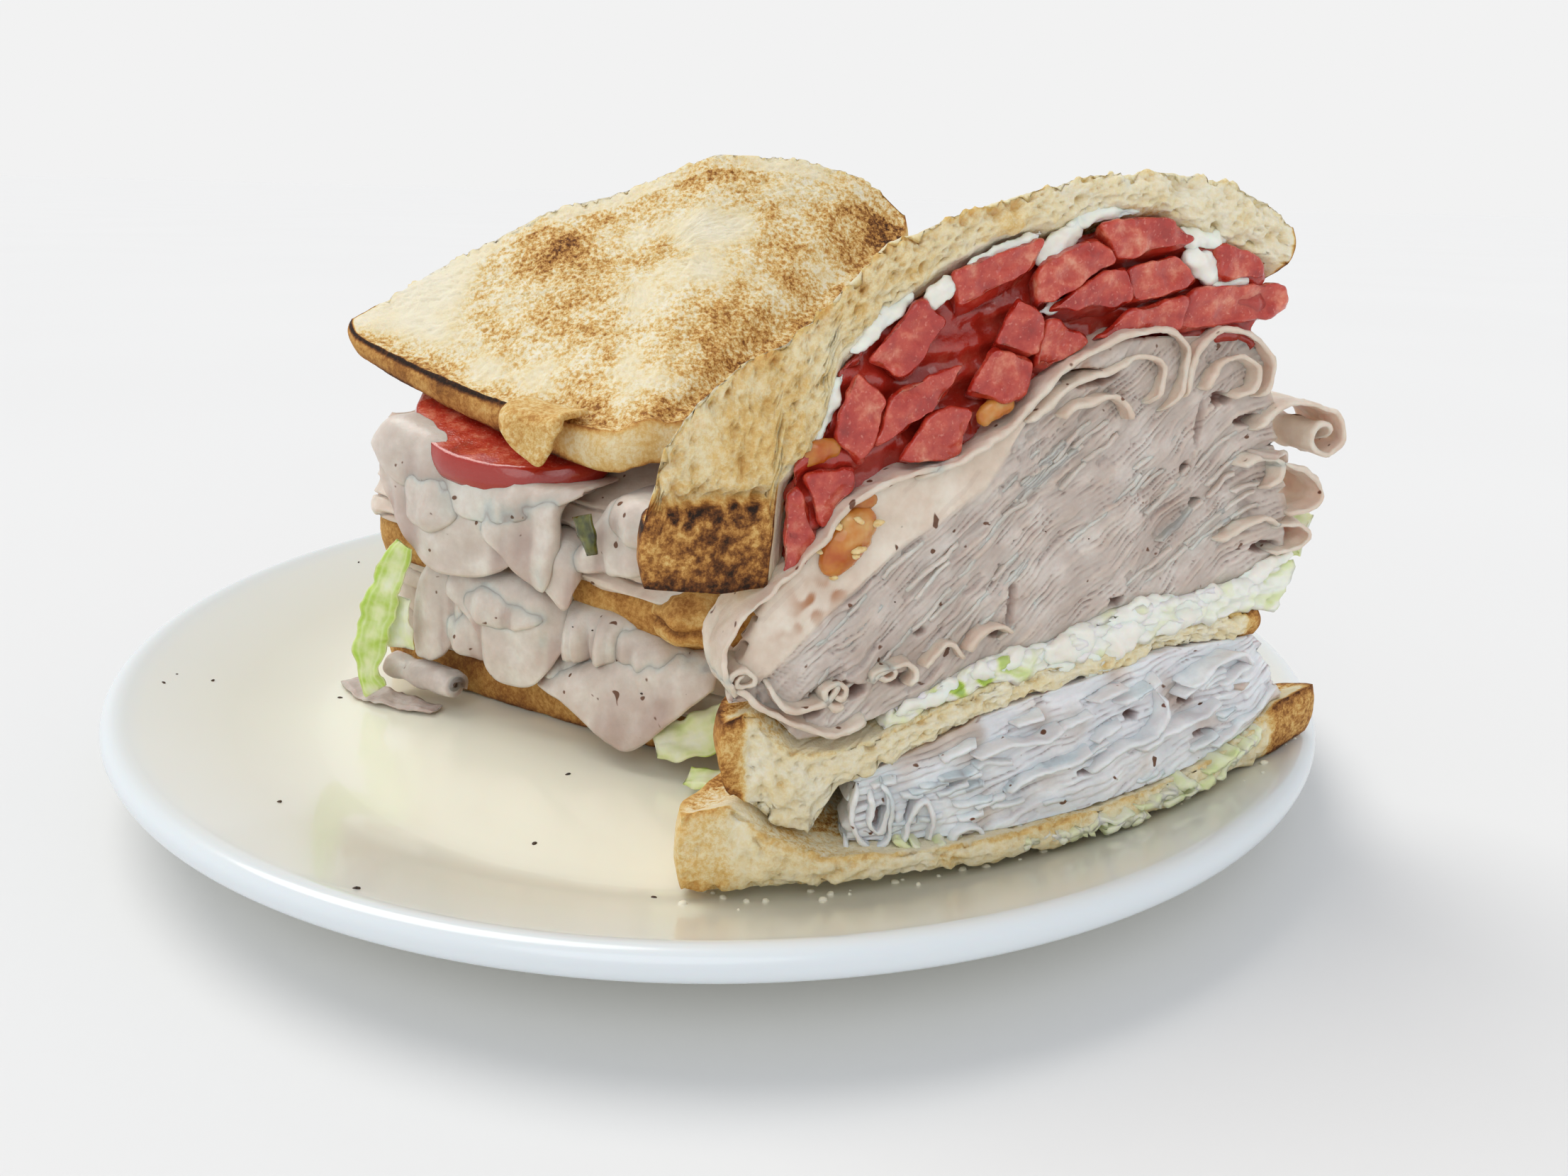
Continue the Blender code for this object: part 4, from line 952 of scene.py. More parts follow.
# %% The four heaps
FRONT_UPPER_STRATUM = [(-80, -74), (-40, -36), (0, 0), (30, 26), (60, 38)]
FRONT_LOWER_STRATUM = [(-80, -16), (-20, -5), (0, 0), (30, 12), (60, 22)]
LEVEL_STRATUM = [(-80, -4), (0, 0), (80, 4)]
OUTER_SHEET_EDGE = [(-66, 46), (-57, 48), (-49, 56), (-35, 68), (-20, 77), (-12, 90)]
front_upper_heap = heap_of_meat(
    "front_upper_meat", "front_upper_turkey", FRONT_CUT.spanning(-64, 46, 72),
    FRONT_CUT.spanning(-58, 34, 66), front_lettuce_top, front_heap_top, seed=6,
    stratum=FRONT_UPPER_STRATUM, levels=125,
    pockets=[(-15, 50.5, 2.0, 1.2, 5.5), (9, 54, 1.8, 1.0, 3), (20, 78, 1.3, 1.4, 3), (-45, 43, 4.5, 1.7, 5),
             (-50, 40, 2.2, 1.6, 4), (-34, 44, 3, 1.2, 3), (26, 90, 2, 1.4, 3), (24, 71, 1.2, 1.0, 2.5),
             (33, 86, 3.5, 1.0, 3.5), (-2, 94.5, 7, 1.5, 4), (-30, 52, 1.3, 0.9, 2), (40, 62, 3.0, 1.2, 3.5),
             (32, 66, 2.5, 1.2, 3), (-13, 56, 0.8, 5, 1.6), (22, 86, 0.9, 4, 1.5)],
    roast_spots=[(-50, 59.5, 3.4, 0.95), (-47, 61, 2.4, 0.8), (-52, 56, 2, 0.6), (-3, 96, 3.5, 0.4),
                 (-55, 54, 1.6, 0.4)],
    outer_sheet=lambda u, z: ramp(z - read_off(OUTER_SHEET_EDGE, u), -2.5, 0.5) * ramp(u, -8, -14),
)
heap_of_meat(
    "front_lower_meat", "front_lower_turkey", FRONT_CUT.spanning(-42, 50, 70, bow=7),
    FRONT_CUT.spanning(-40, 41, 67, bow=3), raised(front_bottom_top, 0.3), raised(front_middle_low, -0.3),
    seed=23, stratum=FRONT_LOWER_STRATUM, levels=84, pitch=1.2, cool=1.0,
    pockets=[(-23, 24, 1.8, 1.1, 4), (-11, 13, 1.4, 0.9, 3), (12, 33, 1.6, 1.0, 3.5), (25, 34, 1.8, 0.9, 3),
             (-36, 18, 2.0, 3.0, 3), (-31, 19, 1.2, 2.6, 3), (3, 24, 2.5, 0.8, 2.5), (30, 27, 2.5, 0.8, 2.5)],
)
heap_of_meat(
    "rear_lower_meat", "rear_lower_turkey", REAR_CUT.spanning(-66, 66, 72), REAR_CUT.spanning(-68, 69, 72),
    rear_bottom_top, rear_middle_low, seed=33, stratum=LEVEL_STRATUM, levels=56, cut_count=180,
    rest_count=280,
)
heap_of_meat(
    "rear_upper_meat", "rear_upper_turkey", REAR_CUT.spanning(-62, 72, 74), REAR_CUT.spanning(-52, 66, 62),
    rear_middle_top, rear_heap_top, seed=43, stratum=LEVEL_STRATUM, levels=80, cut_count=180, rest_count=280,
    side_pockets=[(-29, -36, 55, 8, 7)],
)

# %% [markdown]
# ## Slices that hang out
#
# The uncut sides are dressed with separate slices: thin soft sheets that come out between the layers,
# turn over and hang. Cloth simulation could drop them, but these lie where the picture shows them, so
# each is described as a tailor would, on the plane of the crust side, in a few columns of (place along
# the side, height where it comes out, height of its hem). The function starts the sheet inside the
# heap, rounds a shoulder and lets it hang in ripples, with two faces and a rim a millimetre apart.

# %% Hanging slices
def hanging_sheet(leg, columns, out, flare=0.0, ripple=0.6, waves=1.3, seed=0, thickness=1.0, tuck=8.0,
                  shoulder=4.5):
    """Points, faces and shade of one sheet that hangs out of a heap."""
    start, along, outward = leg
    rng = random.Random(seed)
    phase, phase2 = rng.uniform(0, math.tau), rng.uniform(0, math.tau)
    line = rounded(columns, 2)
    reached = distance_along(line[:, [0, 2]])
    count = max(int(reached[-1] / 0.8), 16)
    stops = np.linspace(0, reached[-1], count)
    s, top, hem = (np.interp(stops, reached, column) for column in line.T)
    steps = max(int((tuck + out + (top - hem).max()) / 0.8), 16)
    t = np.linspace(0, 1, steps)[:, None]
    cross = np.linspace(-1, 1, count)
    reach_out = out * (1 - 0.35 * np.abs(cross) ** 6)
    turn = np.minimum(shoulder, np.maximum(top - hem, 0.4))
    level_part = tuck + reach_out - turn
    arc = turn * math.pi / 2
    run = t * (level_part + arc + np.maximum(top - turn - hem, 0))
    bent = np.clip((run - level_part) / turn, 0, math.pi / 2)
    below = np.maximum(run - level_part - arc, 0)
    forth = -tuck + np.minimum(run, level_part) + turn * np.sin(bent)
    down = turn * (1 - np.cos(bent)) + below
    loose = ramp(run, level_part * 0.6, level_part + arc)
    fallen = down / np.maximum((top - hem).max(), 1)
    forth = forth + flare * fallen * loose
    turning = waves * math.pi * cross
    swell = np.sin(turning + phase + 0.8 * fallen) + 0.4 * np.sin(2.7 * turning + phase2)
    wave = ripple * loose * (0.5 + 0.7 * fallen) * swell
    forth = forth + wave - 0.8 * ramp(fallen, 0.75, 1.0) * loose
    place = start + s[:, None] * along + forth[..., None] * outward
    middle = np.concatenate([place, (top - down)[..., None]], axis=-1)
    soft = 0.6 * layered(middle.reshape(-1, 3), 9, 2, seed + 3)
    creased = 0.45 * np.abs(noise(middle.reshape(-1, 3) * (1, 1, 0.4), 4.0, seed + 4))
    wobble = (soft - creased).reshape(steps, count, 1)
    middle = middle + wobble * np.append(outward, 0.3)
    du, dv = np.gradient(middle, axis=1), np.gradient(middle, axis=0)
    facing = np.cross(dv, du)
    facing /= np.maximum(np.linalg.norm(facing, axis=-1, keepdims=True), 1e-9)
    rim = np.minimum((1 - np.abs(cross))[None, :] * reached[-1] / 2, (1 - t) * run.max())
    half = thickness / 2 * np.clip(0.35 + rim / 1.2, 0.35, 1.0)[..., None]
    total = steps * count
    points = np.concatenate([middle + facing * half, middle - facing * half]).reshape(-1, 3)
    numbers = np.arange(total).reshape(steps, count)
    a = numbers[:-1, :-1].ravel()
    faces = stacked(a, a + count, a + count + 1, a + 1).tolist()
    faces += (stacked(a, a + 1, a + count + 1, a + count) + total).tolist()
    loop = np.concatenate([numbers[0, :-1], numbers[:-1, -1], numbers[-1, :0:-1], numbers[:0:-1, 0]]).tolist()
    faces += [(p, q, q + total, p + total) for p, q in zip(loop, loop[1:] + loop[:1])]
    shade = 0.3 * (1 - ramp(run, level_part * 0.2, level_part * 0.9))
    shade = np.tile((shade + 0.4 * ramp(-wave / ripple, 0.05, 0.9) * ramp(fallen, 0.1, 0.5)).ravel(), 2)
    return points, faces, shade


def merged(name, sheets, finish, **more):
    """One mesh of many sheets. Their shade is stored as "deep", beside what else is given."""
    points, faces, shades, base = [], [], [], 0
    for sheet_points, sheet_faces, sheet_shades in sheets:
        points.append(sheet_points)
        faces += [[v + base for v in face] for face in sheet_faces]
        shades.append(sheet_shades)
        base += len(sheet_points)
    made = write_mesh(name, np.concatenate(points), faces, finish, {"deep": np.concatenate(shades), **more})
    shape = bmesh.new()
    shape.from_mesh(made.data)
    bmesh.ops.recalc_face_normals(shape, faces=shape.faces)
    shape.to_mesh(made.data)
    shape.free()
    return made


# %% [markdown]
# ### The sheets on the side that is seen
#
# These follow the picture one by one, from the broad sheet under the tomato to the flap that reaches
# down over the bottom crust.

# %% Sheets on the seen side
SEEN_SHEETS = [
    # columns of (along, top, hem), how far out, flare, ripple, waves
    ([(15, 69, 66.5), (20, 73, 62), (26, 72, 57.5), (36, 68.5, 55.5), (48, 64.5, 53), (59, 62.5, 54.5),
      (66, 62, 58.5), (73, 63, 62)], 7.2, 0.9, 0.7, 2.2),
    ([(17, 66, 61), (19.5, 66, 53), (26, 65, 44), (31, 65, 40.5), (40, 64, 39.5), (49, 63, 41),
      (55, 62, 44.5), (60, 61, 50)], 6.2, 1.8, 0.8, 1.6),
    ([(47, 60, 51.5), (53, 61, 47), (58, 61, 42), (62, 61, 40.5), (66.5, 61, 40.8), (67.6, 60, 50)],
     7.6, 1.2, 0.9, 1.2),
    ([(67.5, 48, 46.3), (70.5, 50, 46), (74, 53, 46), (77.5, 59, 46.4), (80, 62, 46.5), (86, 61.5, 47.2),
      (91, 60.5, 48), (96, 58, 50), (100, 56, 52)], 6.6, 0.8, 1.0, 2.2),
    ([(80, 62, 58), (84, 63, 55), (90, 62.5, 53), (97, 61, 54), (103, 59, 56)], 8.2, 0.2, 0.6, 1.6),
    ([(21, 25, 18), (24, 36, 16.6), (28, 41, 16.5), (31, 42, 17.5), (34, 41, 21), (38, 40, 27)], 4.0, 1.4,
     0.8, 1.4),
    ([(34, 40, 34), (38, 40.5, 32), (43.5, 41, 29), (46.5, 41, 20), (50, 41, 17), (55, 41, 16.4),
      (60, 40, 17.5), (63.5, 39, 21), (67, 38, 27)], 6.2, 1.8, 0.9, 1.3),
    ([(61, 36, 28), (66, 37, 25.5), (72, 36.5, 25), (78, 36, 26), (84, 34, 28)], 4.8, 1.2, 1.8, 3.0),
    ([(77, 33, 28), (84, 33.5, 26), (92, 32, 26.5), (99, 31, 28), (104, 30, 29)], 5.6, 0.8, 1.0, 2.0),
    ([(59, 18.5, 16.8), (66, 22, 16.6), (72, 25, 15.8), (78, 27, 12.4), (83, 28.5, 10.4), (87, 29.5, 9.6),
      (91, 30, 12), (96, 31, 17), (101, 31.5, 22), (105, 31, 26)], 6.4, 6.0, 0.5, 1.1),
    ([(32, 30, 25), (37, 31, 20), (43, 30.5, 18.5), (48, 30, 22)], 4.6, 0.8, 0.7, 1.4),
    ([(62, 24, 19.5), (70, 25.5, 18), (80, 26, 19), (90, 27, 22), (98, 28, 25)], 4.8, 1.4, 1.2, 2.6),
    ([(62, 52, 47), (65, 52, 41), (68.5, 51, 36.5), (71, 49, 38), (72, 48, 44)], 7.8, 1.0, 0.4, 1.0),
    ([(25, 62, 54), (29, 63, 50), (34, 63, 49), (39, 62, 51), (43, 61, 55)], 8.0, 1.4, 0.6, 1.2),
    ([(40, 38, 33), (46, 38.5, 30), (53, 38, 29), (59, 37, 31), (64, 36, 33)], 7.6, 1.0, 0.7, 1.8),
]
seen_sheets = [
    hanging_sheet(SEEN_LEG, columns, out, flare, ripple, waves, seed=200 + i)
    for i, (columns, out, flare, ripple, waves) in enumerate(SEEN_SHEETS)
]
dress(merged("rear_hanging_slices", seen_sheets, TURKEY, pale=0.45, cool=0.1), slot="roast_turkey")

# %% [markdown]
# ### The sheets on the sides that the picture doesn't show
#
# The other uncut sides get sheets of the same kind, at even but slightly random places.

# %% Sheets on the other sides
def scattered_sheets(leg, length, layers, seed):
    """Sheets along a whole side. A layer is (height at the start, height at the end, fall)."""
    rng = random.Random(seed)
    sheets = []
    for first, last, fall in layers:
        at = rng.uniform(4, 9)
        while at < length - 8:
            width, drop = rng.uniform(18, 30), fall * rng.uniform(0.7, 1.1)
            rise = first + (last - first) * at / length
            columns = [
                (at + width * f, rise + rng.uniform(-0.5, 0.5), rise - drop * h) for f, h in
                ((-0.5, 0.2), (-0.42, 0.6), (-0.25, 0.92), (0, 1.0), (0.25, 0.95), (0.42, 0.55), (0.5, 0.2))
            ]
            sheets.append(hanging_sheet(
                leg, columns, rng.uniform(2.6, 4.6), rng.uniform(0, 0.8), rng.uniform(0.4, 1.0),
                rng.uniform(0.9, 2.0), seed=rng.randrange(1000), tuck=6.0))
            at += width * rng.uniform(0.5, 0.8)
    return sheets


def side_of(half, right, share_from=0.03, share_to=0.97):
    """The crust side at the right or left end of a half slice, as a leg_frame and its length."""
    end, corner = ((half.half_length, 0.0) if right else (-half.half_length, 0.0)), (0.0, half.depth)
    shares = np.array((share_from, share_to))[:, None]
    points = [half.place(*place) for place in np.array(end) + (np.array(corner) - end) * shares]
    if not right:
        points.reverse()
    return leg_frame(*points), float(np.linalg.norm(points[1] - points[0]))


# Leaves the loaf corner free, where the round of the corner leaves no room for a straight sheet.
front_right, front_right_length = side_of(FRONT_CUT.spanning(-60, 41, 69), True, 0.08, 0.86)
front_left, front_left_length = side_of(FRONT_CUT.spanning(-60, 41, 69), False, 0.16, 0.95)
rear_far, rear_far_length = side_of(REAR_CUT.spanning(-60, 68, 68), False, 0.14, 0.95)
unseen = scattered_sheets(front_right, front_right_length, [(82, 62, 13), (70, 56, 9), (36, 32, 11)], 301)
unseen += scattered_sheets(front_left, front_left_length, [(60, 57, 9), (31, 26, 9)], 302)
unseen += scattered_sheets(
    rear_far, rear_far_length, [(70, 74, 12), (62, 66, 9), (40, 42, 12), (30, 30, 9)], 303)
dress(merged("other_hanging_slices", unseen, TURKEY, pale=0.75, cool=0.1), slot="roast_turkey")

# %% [markdown]
# ## Folded edges, with Geometry Nodes
#
# Where a slice was cut across a fold, its edge shows as a thin bright line that loops and curls. Such
# a line is a path, and a strip that follows a path is what Geometry Nodes do best: the tree sweeps a
# flat section along each curve, tapers it at both ends, roughens it and gives it its finish. Width is
# how far the strip runs into the sandwich, and Thickness is the slice's own.

# %% The strip tree
def tree_with(name, inputs):
    """A tree with a geometry coming in and going out, and numbers that can be set by their names."""
    tree = bpy.data.node_groups.new(name, "GeometryNodeTree")
    face = tree.interface
    face.new_socket("Geometry", in_out="INPUT", socket_type="NodeSocketGeometry")
    for label, value in inputs.items():
        kind = "NodeSocketInt" if isinstance(value, int) else "NodeSocketFloat"
        face.new_socket(label, in_out="INPUT", socket_type=kind).default_value = value
    face.new_socket("Geometry", in_out="OUTPUT", socket_type="NodeSocketGeometry")
    return tree, add(tree, "NodeGroupInput").outputs


def end_tree(tree, geometry, lumps, push, finish):
    """Makes instances real, pushes each point so far by the colour of a noise and gives the finish."""
    real = add(tree, "GeometryNodeRealizeInstances", {"Geometry": geometry})
    centred = add(tree, "ShaderNodeVectorMath", {0: lumps.outputs["Color"], 1: (0.5, 0.5, 0.5)},
                  operation="SUBTRACT")
    offset = add(tree, "ShaderNodeVectorMath", {0: centred.outputs[0], "Scale": push}, operation="SCALE")
    rough = add(tree, "GeometryNodeSetPosition", {"Geometry": real.outputs[0], "Offset": offset.outputs[0]})
    painted = add(tree, "GeometryNodeSetMaterial", {"Geometry": rough.outputs[0], "Material": finish})
    add(tree, "NodeGroupOutput", {0: painted.outputs[0]})
    return tree


def strip_tree(finish):
    """Sweeps a tapered, roughened section along every path."""
    tree, given = tree_with("slice_along_path", {
        "Width": 0.010, "Thickness": 0.0011, "Roughness": 0.0006, "Lump Size": 0.004, "Seed": 1.0})
    even = add(tree, "GeometryNodeResampleCurve", {"Curve": given["Geometry"], "Length": 0.0007},
               mode="LENGTH")
    along = add(tree, "GeometryNodeSplineParameter")
    taper = add(tree, "ShaderNodeFloatCurve", {"Value": along.outputs["Factor"]})
    curve = taper.mapping.curves[0]
    for x, y in ((0.06, 1.0), (0.94, 1.0)):
        curve.points.new(x, y)
    curve.points[0].location, curve.points[-1].location = (0.0, 0.35), (1.0, 0.35)
    taper.mapping.update()
    section = add(tree, "GeometryNodeCurvePrimitiveQuadrilateral",
                  {"Width": given["Width"], "Height": given["Thickness"]})
    fine_section = add(tree, "GeometryNodeResampleCurve", {"Curve": section.outputs[0], "Length": 0.0006},
                       mode="LENGTH")
    swept = add(tree, "GeometryNodeCurveToMesh", {
        "Curve": even.outputs[0], "Profile Curve": fine_section.outputs[0],
        "Scale": taper.outputs[0], "Fill Caps": True})
    per_size = add(tree, "ShaderNodeMath", {0: 1.0, 1: given["Lump Size"]}, operation="DIVIDE")
    lumps = add(tree, "ShaderNodeTexNoise", {"W": given["Seed"], "Scale": per_size.outputs[0], "Detail": 2.0},
                noise_dimensions="4D")
    return end_tree(tree, swept.outputs[0], lumps, given["Roughness"], finish)


def baked(made, tree, **values):
    """Runs a tree on an object, with its inputs set by name, and returns a plain mesh object."""
    modifier = made.modifiers.new("nodes", "NODES")
    modifier.node_group = tree
    for item in tree.interface.items_tree:
        label = item.name.replace(" ", "_")
        if item.in_out == "INPUT" and label in values:
            modifier[item.identifier] = values[label]
    graph = bpy.context.evaluated_depsgraph_get()
    mesh = bpy.data.meshes.new_from_object(made.evaluated_get(graph))
    mesh.shade_smooth()
    name = made.name
    bpy.data.objects.remove(made)
    return new_object(name, mesh)


def paths_as_curve(name, paths):
    """A curve object of many open paths of points in millimetres."""
    data = bpy.data.curves.new(name, "CURVE")
    data.dimensions = "3D"
    for path in paths:
        spline = data.splines.new("POLY")
        spline.points.add(len(path) - 1)
        for point, place in zip(spline.points, path):
            point.co = (*(np.asarray(place) * MM), 1.0)
    return new_object(name, data)


def strips(name, paths, tree, slot, attributes, **sizes):
    """One piece of strips along many paths."""
    made = baked(paths_as_curve(name, paths), tree, **sizes)
    store(made.data, attributes)
    return dress(made, slot=slot)


def on_cut(path, depth, bulge=0.0, half=None):
    """A path drawn in the plane of a cut, as (u, z), at a depth behind it, with its corners rounded.
    The lower heap of the front half bulges out of the plane, so its paths follow that."""
    line = rounded(path, 3)
    behind = depth - bulge * (1 - ((line[:, 0] - 4) / 46) ** 2)
    return np.concatenate([(half or FRONT_CUT).place(line[:, 0], behind), line[:, 1:]], axis=1)


# %% [markdown]
# ### Drawing the folds
#
# The big folds are drawn as they lie in the picture: the smooth outer sheet at the top left, the loops
# at the top, the curl that sticks out on the right and the little rolls at the lower left. Many short
# random ones follow the strata, so the cut has crisp edges as well as soft relief.

# %% Fold paths
def spiral(u, z, radius, turns, start_deg, squash=0.8):
    """A rolled-up edge, as a path."""
    angle = np.radians(start_deg) + np.linspace(0, turns * 2 * math.pi, int(14 * turns) + 6)
    size = radius * np.linspace(0.25, 1.0, len(angle))
    return [(u + r * math.cos(a), z + squash * r * math.sin(a)) for a, r in zip(angle, size)]


OUTER_FOLDS = [
    [(-63, 44), (-66, 49), (-65, 56), (-60, 61), (-55, 64.5), (-49, 70), (-45, 76.5), (-36, 80), (-27, 81)],
    [(-34, 79), (-27, 81.5), (-20, 85), (-15, 88.5), (-10, 95), (-4, 99), (3, 101.5), (10, 103), (15, 101.5),
     (16.5, 97), (15.5, 92), (13, 88)],
    [(-14, 87), (-9, 92), (-4, 94.5), (2, 96), (8, 98.5), (11.5, 97), (12, 92.5), (9, 90)],
    [(-8, 88), (-3, 91), (2, 92), (5, 90), (6, 87)],
    [(16.5, 90), (17, 96), (19, 101), (24, 102.3), (30, 101), (34, 97.5), (35, 93), (32, 90)],
    [(20, 92), (23, 96.5), (28, 97.5), (31.5, 95), (31, 91.5), (27, 90.5)],
    [(33, 84), (36, 88), (41, 89.5), (47, 88.5), (52, 85.5), (53.5, 81.5), (50, 79), (46, 80.5), (45, 83.5),
     (47.5, 85.5), (50, 83.5), (49, 81.8)],
    [(38, 78), (43, 77.5), (48, 75.5), (50.5, 72), (48, 69), (43, 68.5)],
    [(30, 78), (35, 80), (39, 79), (40, 75.5), (37, 73)],
    [(40, 66), (46, 67), (49, 64.5), (46, 62), (41, 61)],
    [(28, 64), (33, 67), (38, 68), (42, 66)],
    [(-64, 46), (-60, 43), (-55, 40.5), (-50, 37), (-44, 36.5), (-40, 38.5)],
    [(-58, 47), (-56, 42.5), (-51, 41), (-47, 42.5), (-46, 46)],
    [(-40, 44), (-37, 47.5), (-33, 48), (-31, 45), (-33, 42.5)],
    [(-30, 46), (-27, 50), (-23.5, 49.5), (-22, 46.5)],
    [(-22, 48), (-19, 52), (-15.5, 52.5), (-13, 50)],
    spiral(-62.5, 47.5, 3.0, 1.4, 40), spiral(-46, 43.5, 3.2, 1.3, 200), spiral(-37.5, 45.5, 2.4, 1.3, 120),
]
LOWER_FOLDS = [
    [(-40, 25), (-41, 19), (-39.5, 14), (-36, 12.5), (-34, 16), (-34.5, 22), (-36, 26)],
    [(-37.5, 24), (-37.8, 18), (-36.2, 15), (-34.8, 18), (-35.2, 24)],
    [(-32, 13), (-31, 19), (-29, 23), (-26.5, 20), (-27.5, 14)],
    [(-24, 12), (-22, 16), (-19, 16.5), (-17, 13)],
    [(-42, 15), (-40, 11), (-35, 10), (-29, 11)],
    [(2, 24), (8, 28), (14, 29), (18, 33), (17, 37)], [(12, 27), (20, 31), (26, 31), (31, 34)],
    [(-14, 22), (-9, 26), (-3, 26), (2, 29)], [(22, 38), (28, 42), (34, 43), (38, 40)],
    [(30, 24), (36, 28), (42, 30), (46, 34)], [(-20, 29), (-14, 32), (-8, 31), (-4, 34)],
]


def random_edges(count, seed, inside, stratum, length):
    """Short wavy paths that follow the strata of a heap."""
    rng = random.Random(seed)
    paths = []
    while len(paths) < count:
        u, z = rng.uniform(-62, 46), rng.uniform(10, 100)
        if not inside(u, z):
            continue
        span, phase, wave = rng.uniform(0.5, 1.0) * length, rng.uniform(0, math.tau), rng.uniform(0.2, 0.8)
        us = np.linspace(u - span * 0.35, u + span * 0.35, 9)
        zs = z + (read_off(stratum, us) - read_off(stratum, u)) + wave * np.sin(us / 2.2 + phase)
        path = np.stack([us, zs], axis=1)
        if all(inside(*p) for p in path):
            paths.append(path)
    return paths


def in_upper(u, z):
    """Inside the upper heap of the front half, on the cut, and clear of its outer sheet."""
    low, high = read_off(FRONT_LETTUCE_TOP, u) + 2.5, read_off(FRONT_HEAP_TOP, u) - 5
    return low < z < high and u < 40 and z < read_off(OUTER_SHEET_EDGE, u) - 2


def in_lower(u, z):
    """Inside the lower heap of the front half, on the cut."""
    low = float(front_bottom_top(*FRONT_CUT.place(u, 0.0))) + 2
    high = float(front_middle_low(*FRONT_CUT.place(u, 0.0))) - 2
    return low < z < high and -38 < u < 40


def in_rear(u, z):
    """Inside one of the rear heaps, on the cut that faces away from the camera."""
    bottom, low, top, high = (float(surface(*REAR_CUT.place(u, 0.0))) for surface in
                              (rear_bottom_top, rear_middle_low, rear_middle_top, rear_heap_top))
    return -58 < u < 60 and (bottom + 2 < z < low - 2 or top + 3 < z < high - 4)


def random_loops(count, seed, inside, size):
    """Slices cut across a fold, at random places: each runs out, turns over and comes back."""
    rng = random.Random(seed)
    paths = []
    while len(paths) < count:
        u, z, reach = rng.uniform(-62, 62), rng.uniform(10, 115), rng.uniform(0.6, 1.3) * size
        turn, rise = rng.choice((-1, 1)), rng.uniform(0.16, 0.3) * size
        path = [(u - turn * reach, z + 0.3 * rise), (u - turn * reach * 0.4, z),
                (u + turn * reach * 0.2, z + 0.1 * rise), (u + turn * reach * 0.45, z + rise),
                (u + turn * reach * 0.1, z + 1.7 * rise), (u - turn * reach * 0.5, z + 1.9 * rise)]
        if all(inside(*point) for point in path):
            paths.append(path)
    return paths


folds_tree = strip_tree(TURKEY)
upper_edges = random_edges(52, 401, in_upper, FRONT_UPPER_STRATUM, 15)
lower_edges = random_edges(40, 402, in_lower, FRONT_LOWER_STRATUM, 12)
rear_edges = random_loops(34, 403, in_rear, 9) + random_edges(60, 404, in_rear, LEVEL_STRATUM, 14)
strips("fine_slice_edges", [on_cut(p, 2.9) for p in upper_edges], folds_tree, "roast_turkey",
       {"pale": 0.35, "cool": 0.1}, Width=0.0060, Thickness=0.0006, Roughness=0.0014, Lump_Size=0.003,
       Seed=3.0)
strips("rear_slice_edges", [on_cut(p, 3.0, half=REAR_CUT) for p in rear_edges], folds_tree, "roast_turkey",
       {"pale": 0.7, "cool": 0.1}, Width=0.0075, Thickness=0.0008, Roughness=0.0026, Lump_Size=0.005,
       Seed=5.0)
strips("folded_slice_edges", [on_cut(p, 3.6) for p in OUTER_FOLDS], folds_tree, "roast_turkey",
       {"pale": 0.85}, Width=0.0125, Thickness=0.0009, Roughness=0.0030, Lump_Size=0.005, Seed=7.0)
strips("folded_lower_edges",
       [on_cut(p, 2.8, 6.5) for p in LOWER_FOLDS] + [on_cut(p, 3.9, 6.2) for p in lower_edges], folds_tree,
       "roast_turkey", {"pale": 0.8, "cool": 0.9}, Width=0.009, Thickness=0.0008, Roughness=0.0026,
       Lump_Size=0.004, Seed=9.0)

# %% [markdown]
# ### Lettuce under the lower meat
#
# Shredded lettuce shows between the bottom slice and the meat. Its shreds are wavy paths too, so the
# same tree makes them, with the finish of a leaf.

# %% Lettuce shreds
rng = random.Random(405)
shreds = []
for first in np.arange(-34, 38, 3.2):
    us = first + np.linspace(0, rng.uniform(4, 10), 9)
    at = FRONT_CUT.place(us, np.zeros(9))
    lift, wave = rng.uniform(-1.6, 0.6), rng.uniform(0.3, 1.0)
    shreds.append(stacked(us, front_bottom_top(at[:, 0], at[:, 1]) + lift + wave * np.sin(us * 1.4 + first)))
strips("lettuce_shreds_under_meat", [on_cut(p, 1.6, 9.0) for p in shreds], strip_tree(LETTUCE),
       "lettuce_leaf", {"green": 0.3, "vein": 0.1}, Width=0.007, Thickness=0.0009, Roughness=0.0036,
       Lump_Size=0.003, Seed=11.0)

# %% [markdown]
# ## Tomato in the cut
#
# The knife went through a stack of tomato slices, so the cut shows their sawn faces as slanting
# blocks. Each is a small closed skin: its face has four measured corners, rounded like soft flesh, and
# it narrows into the sandwich. The face is grainy and a little dished, and one long edge is skin.

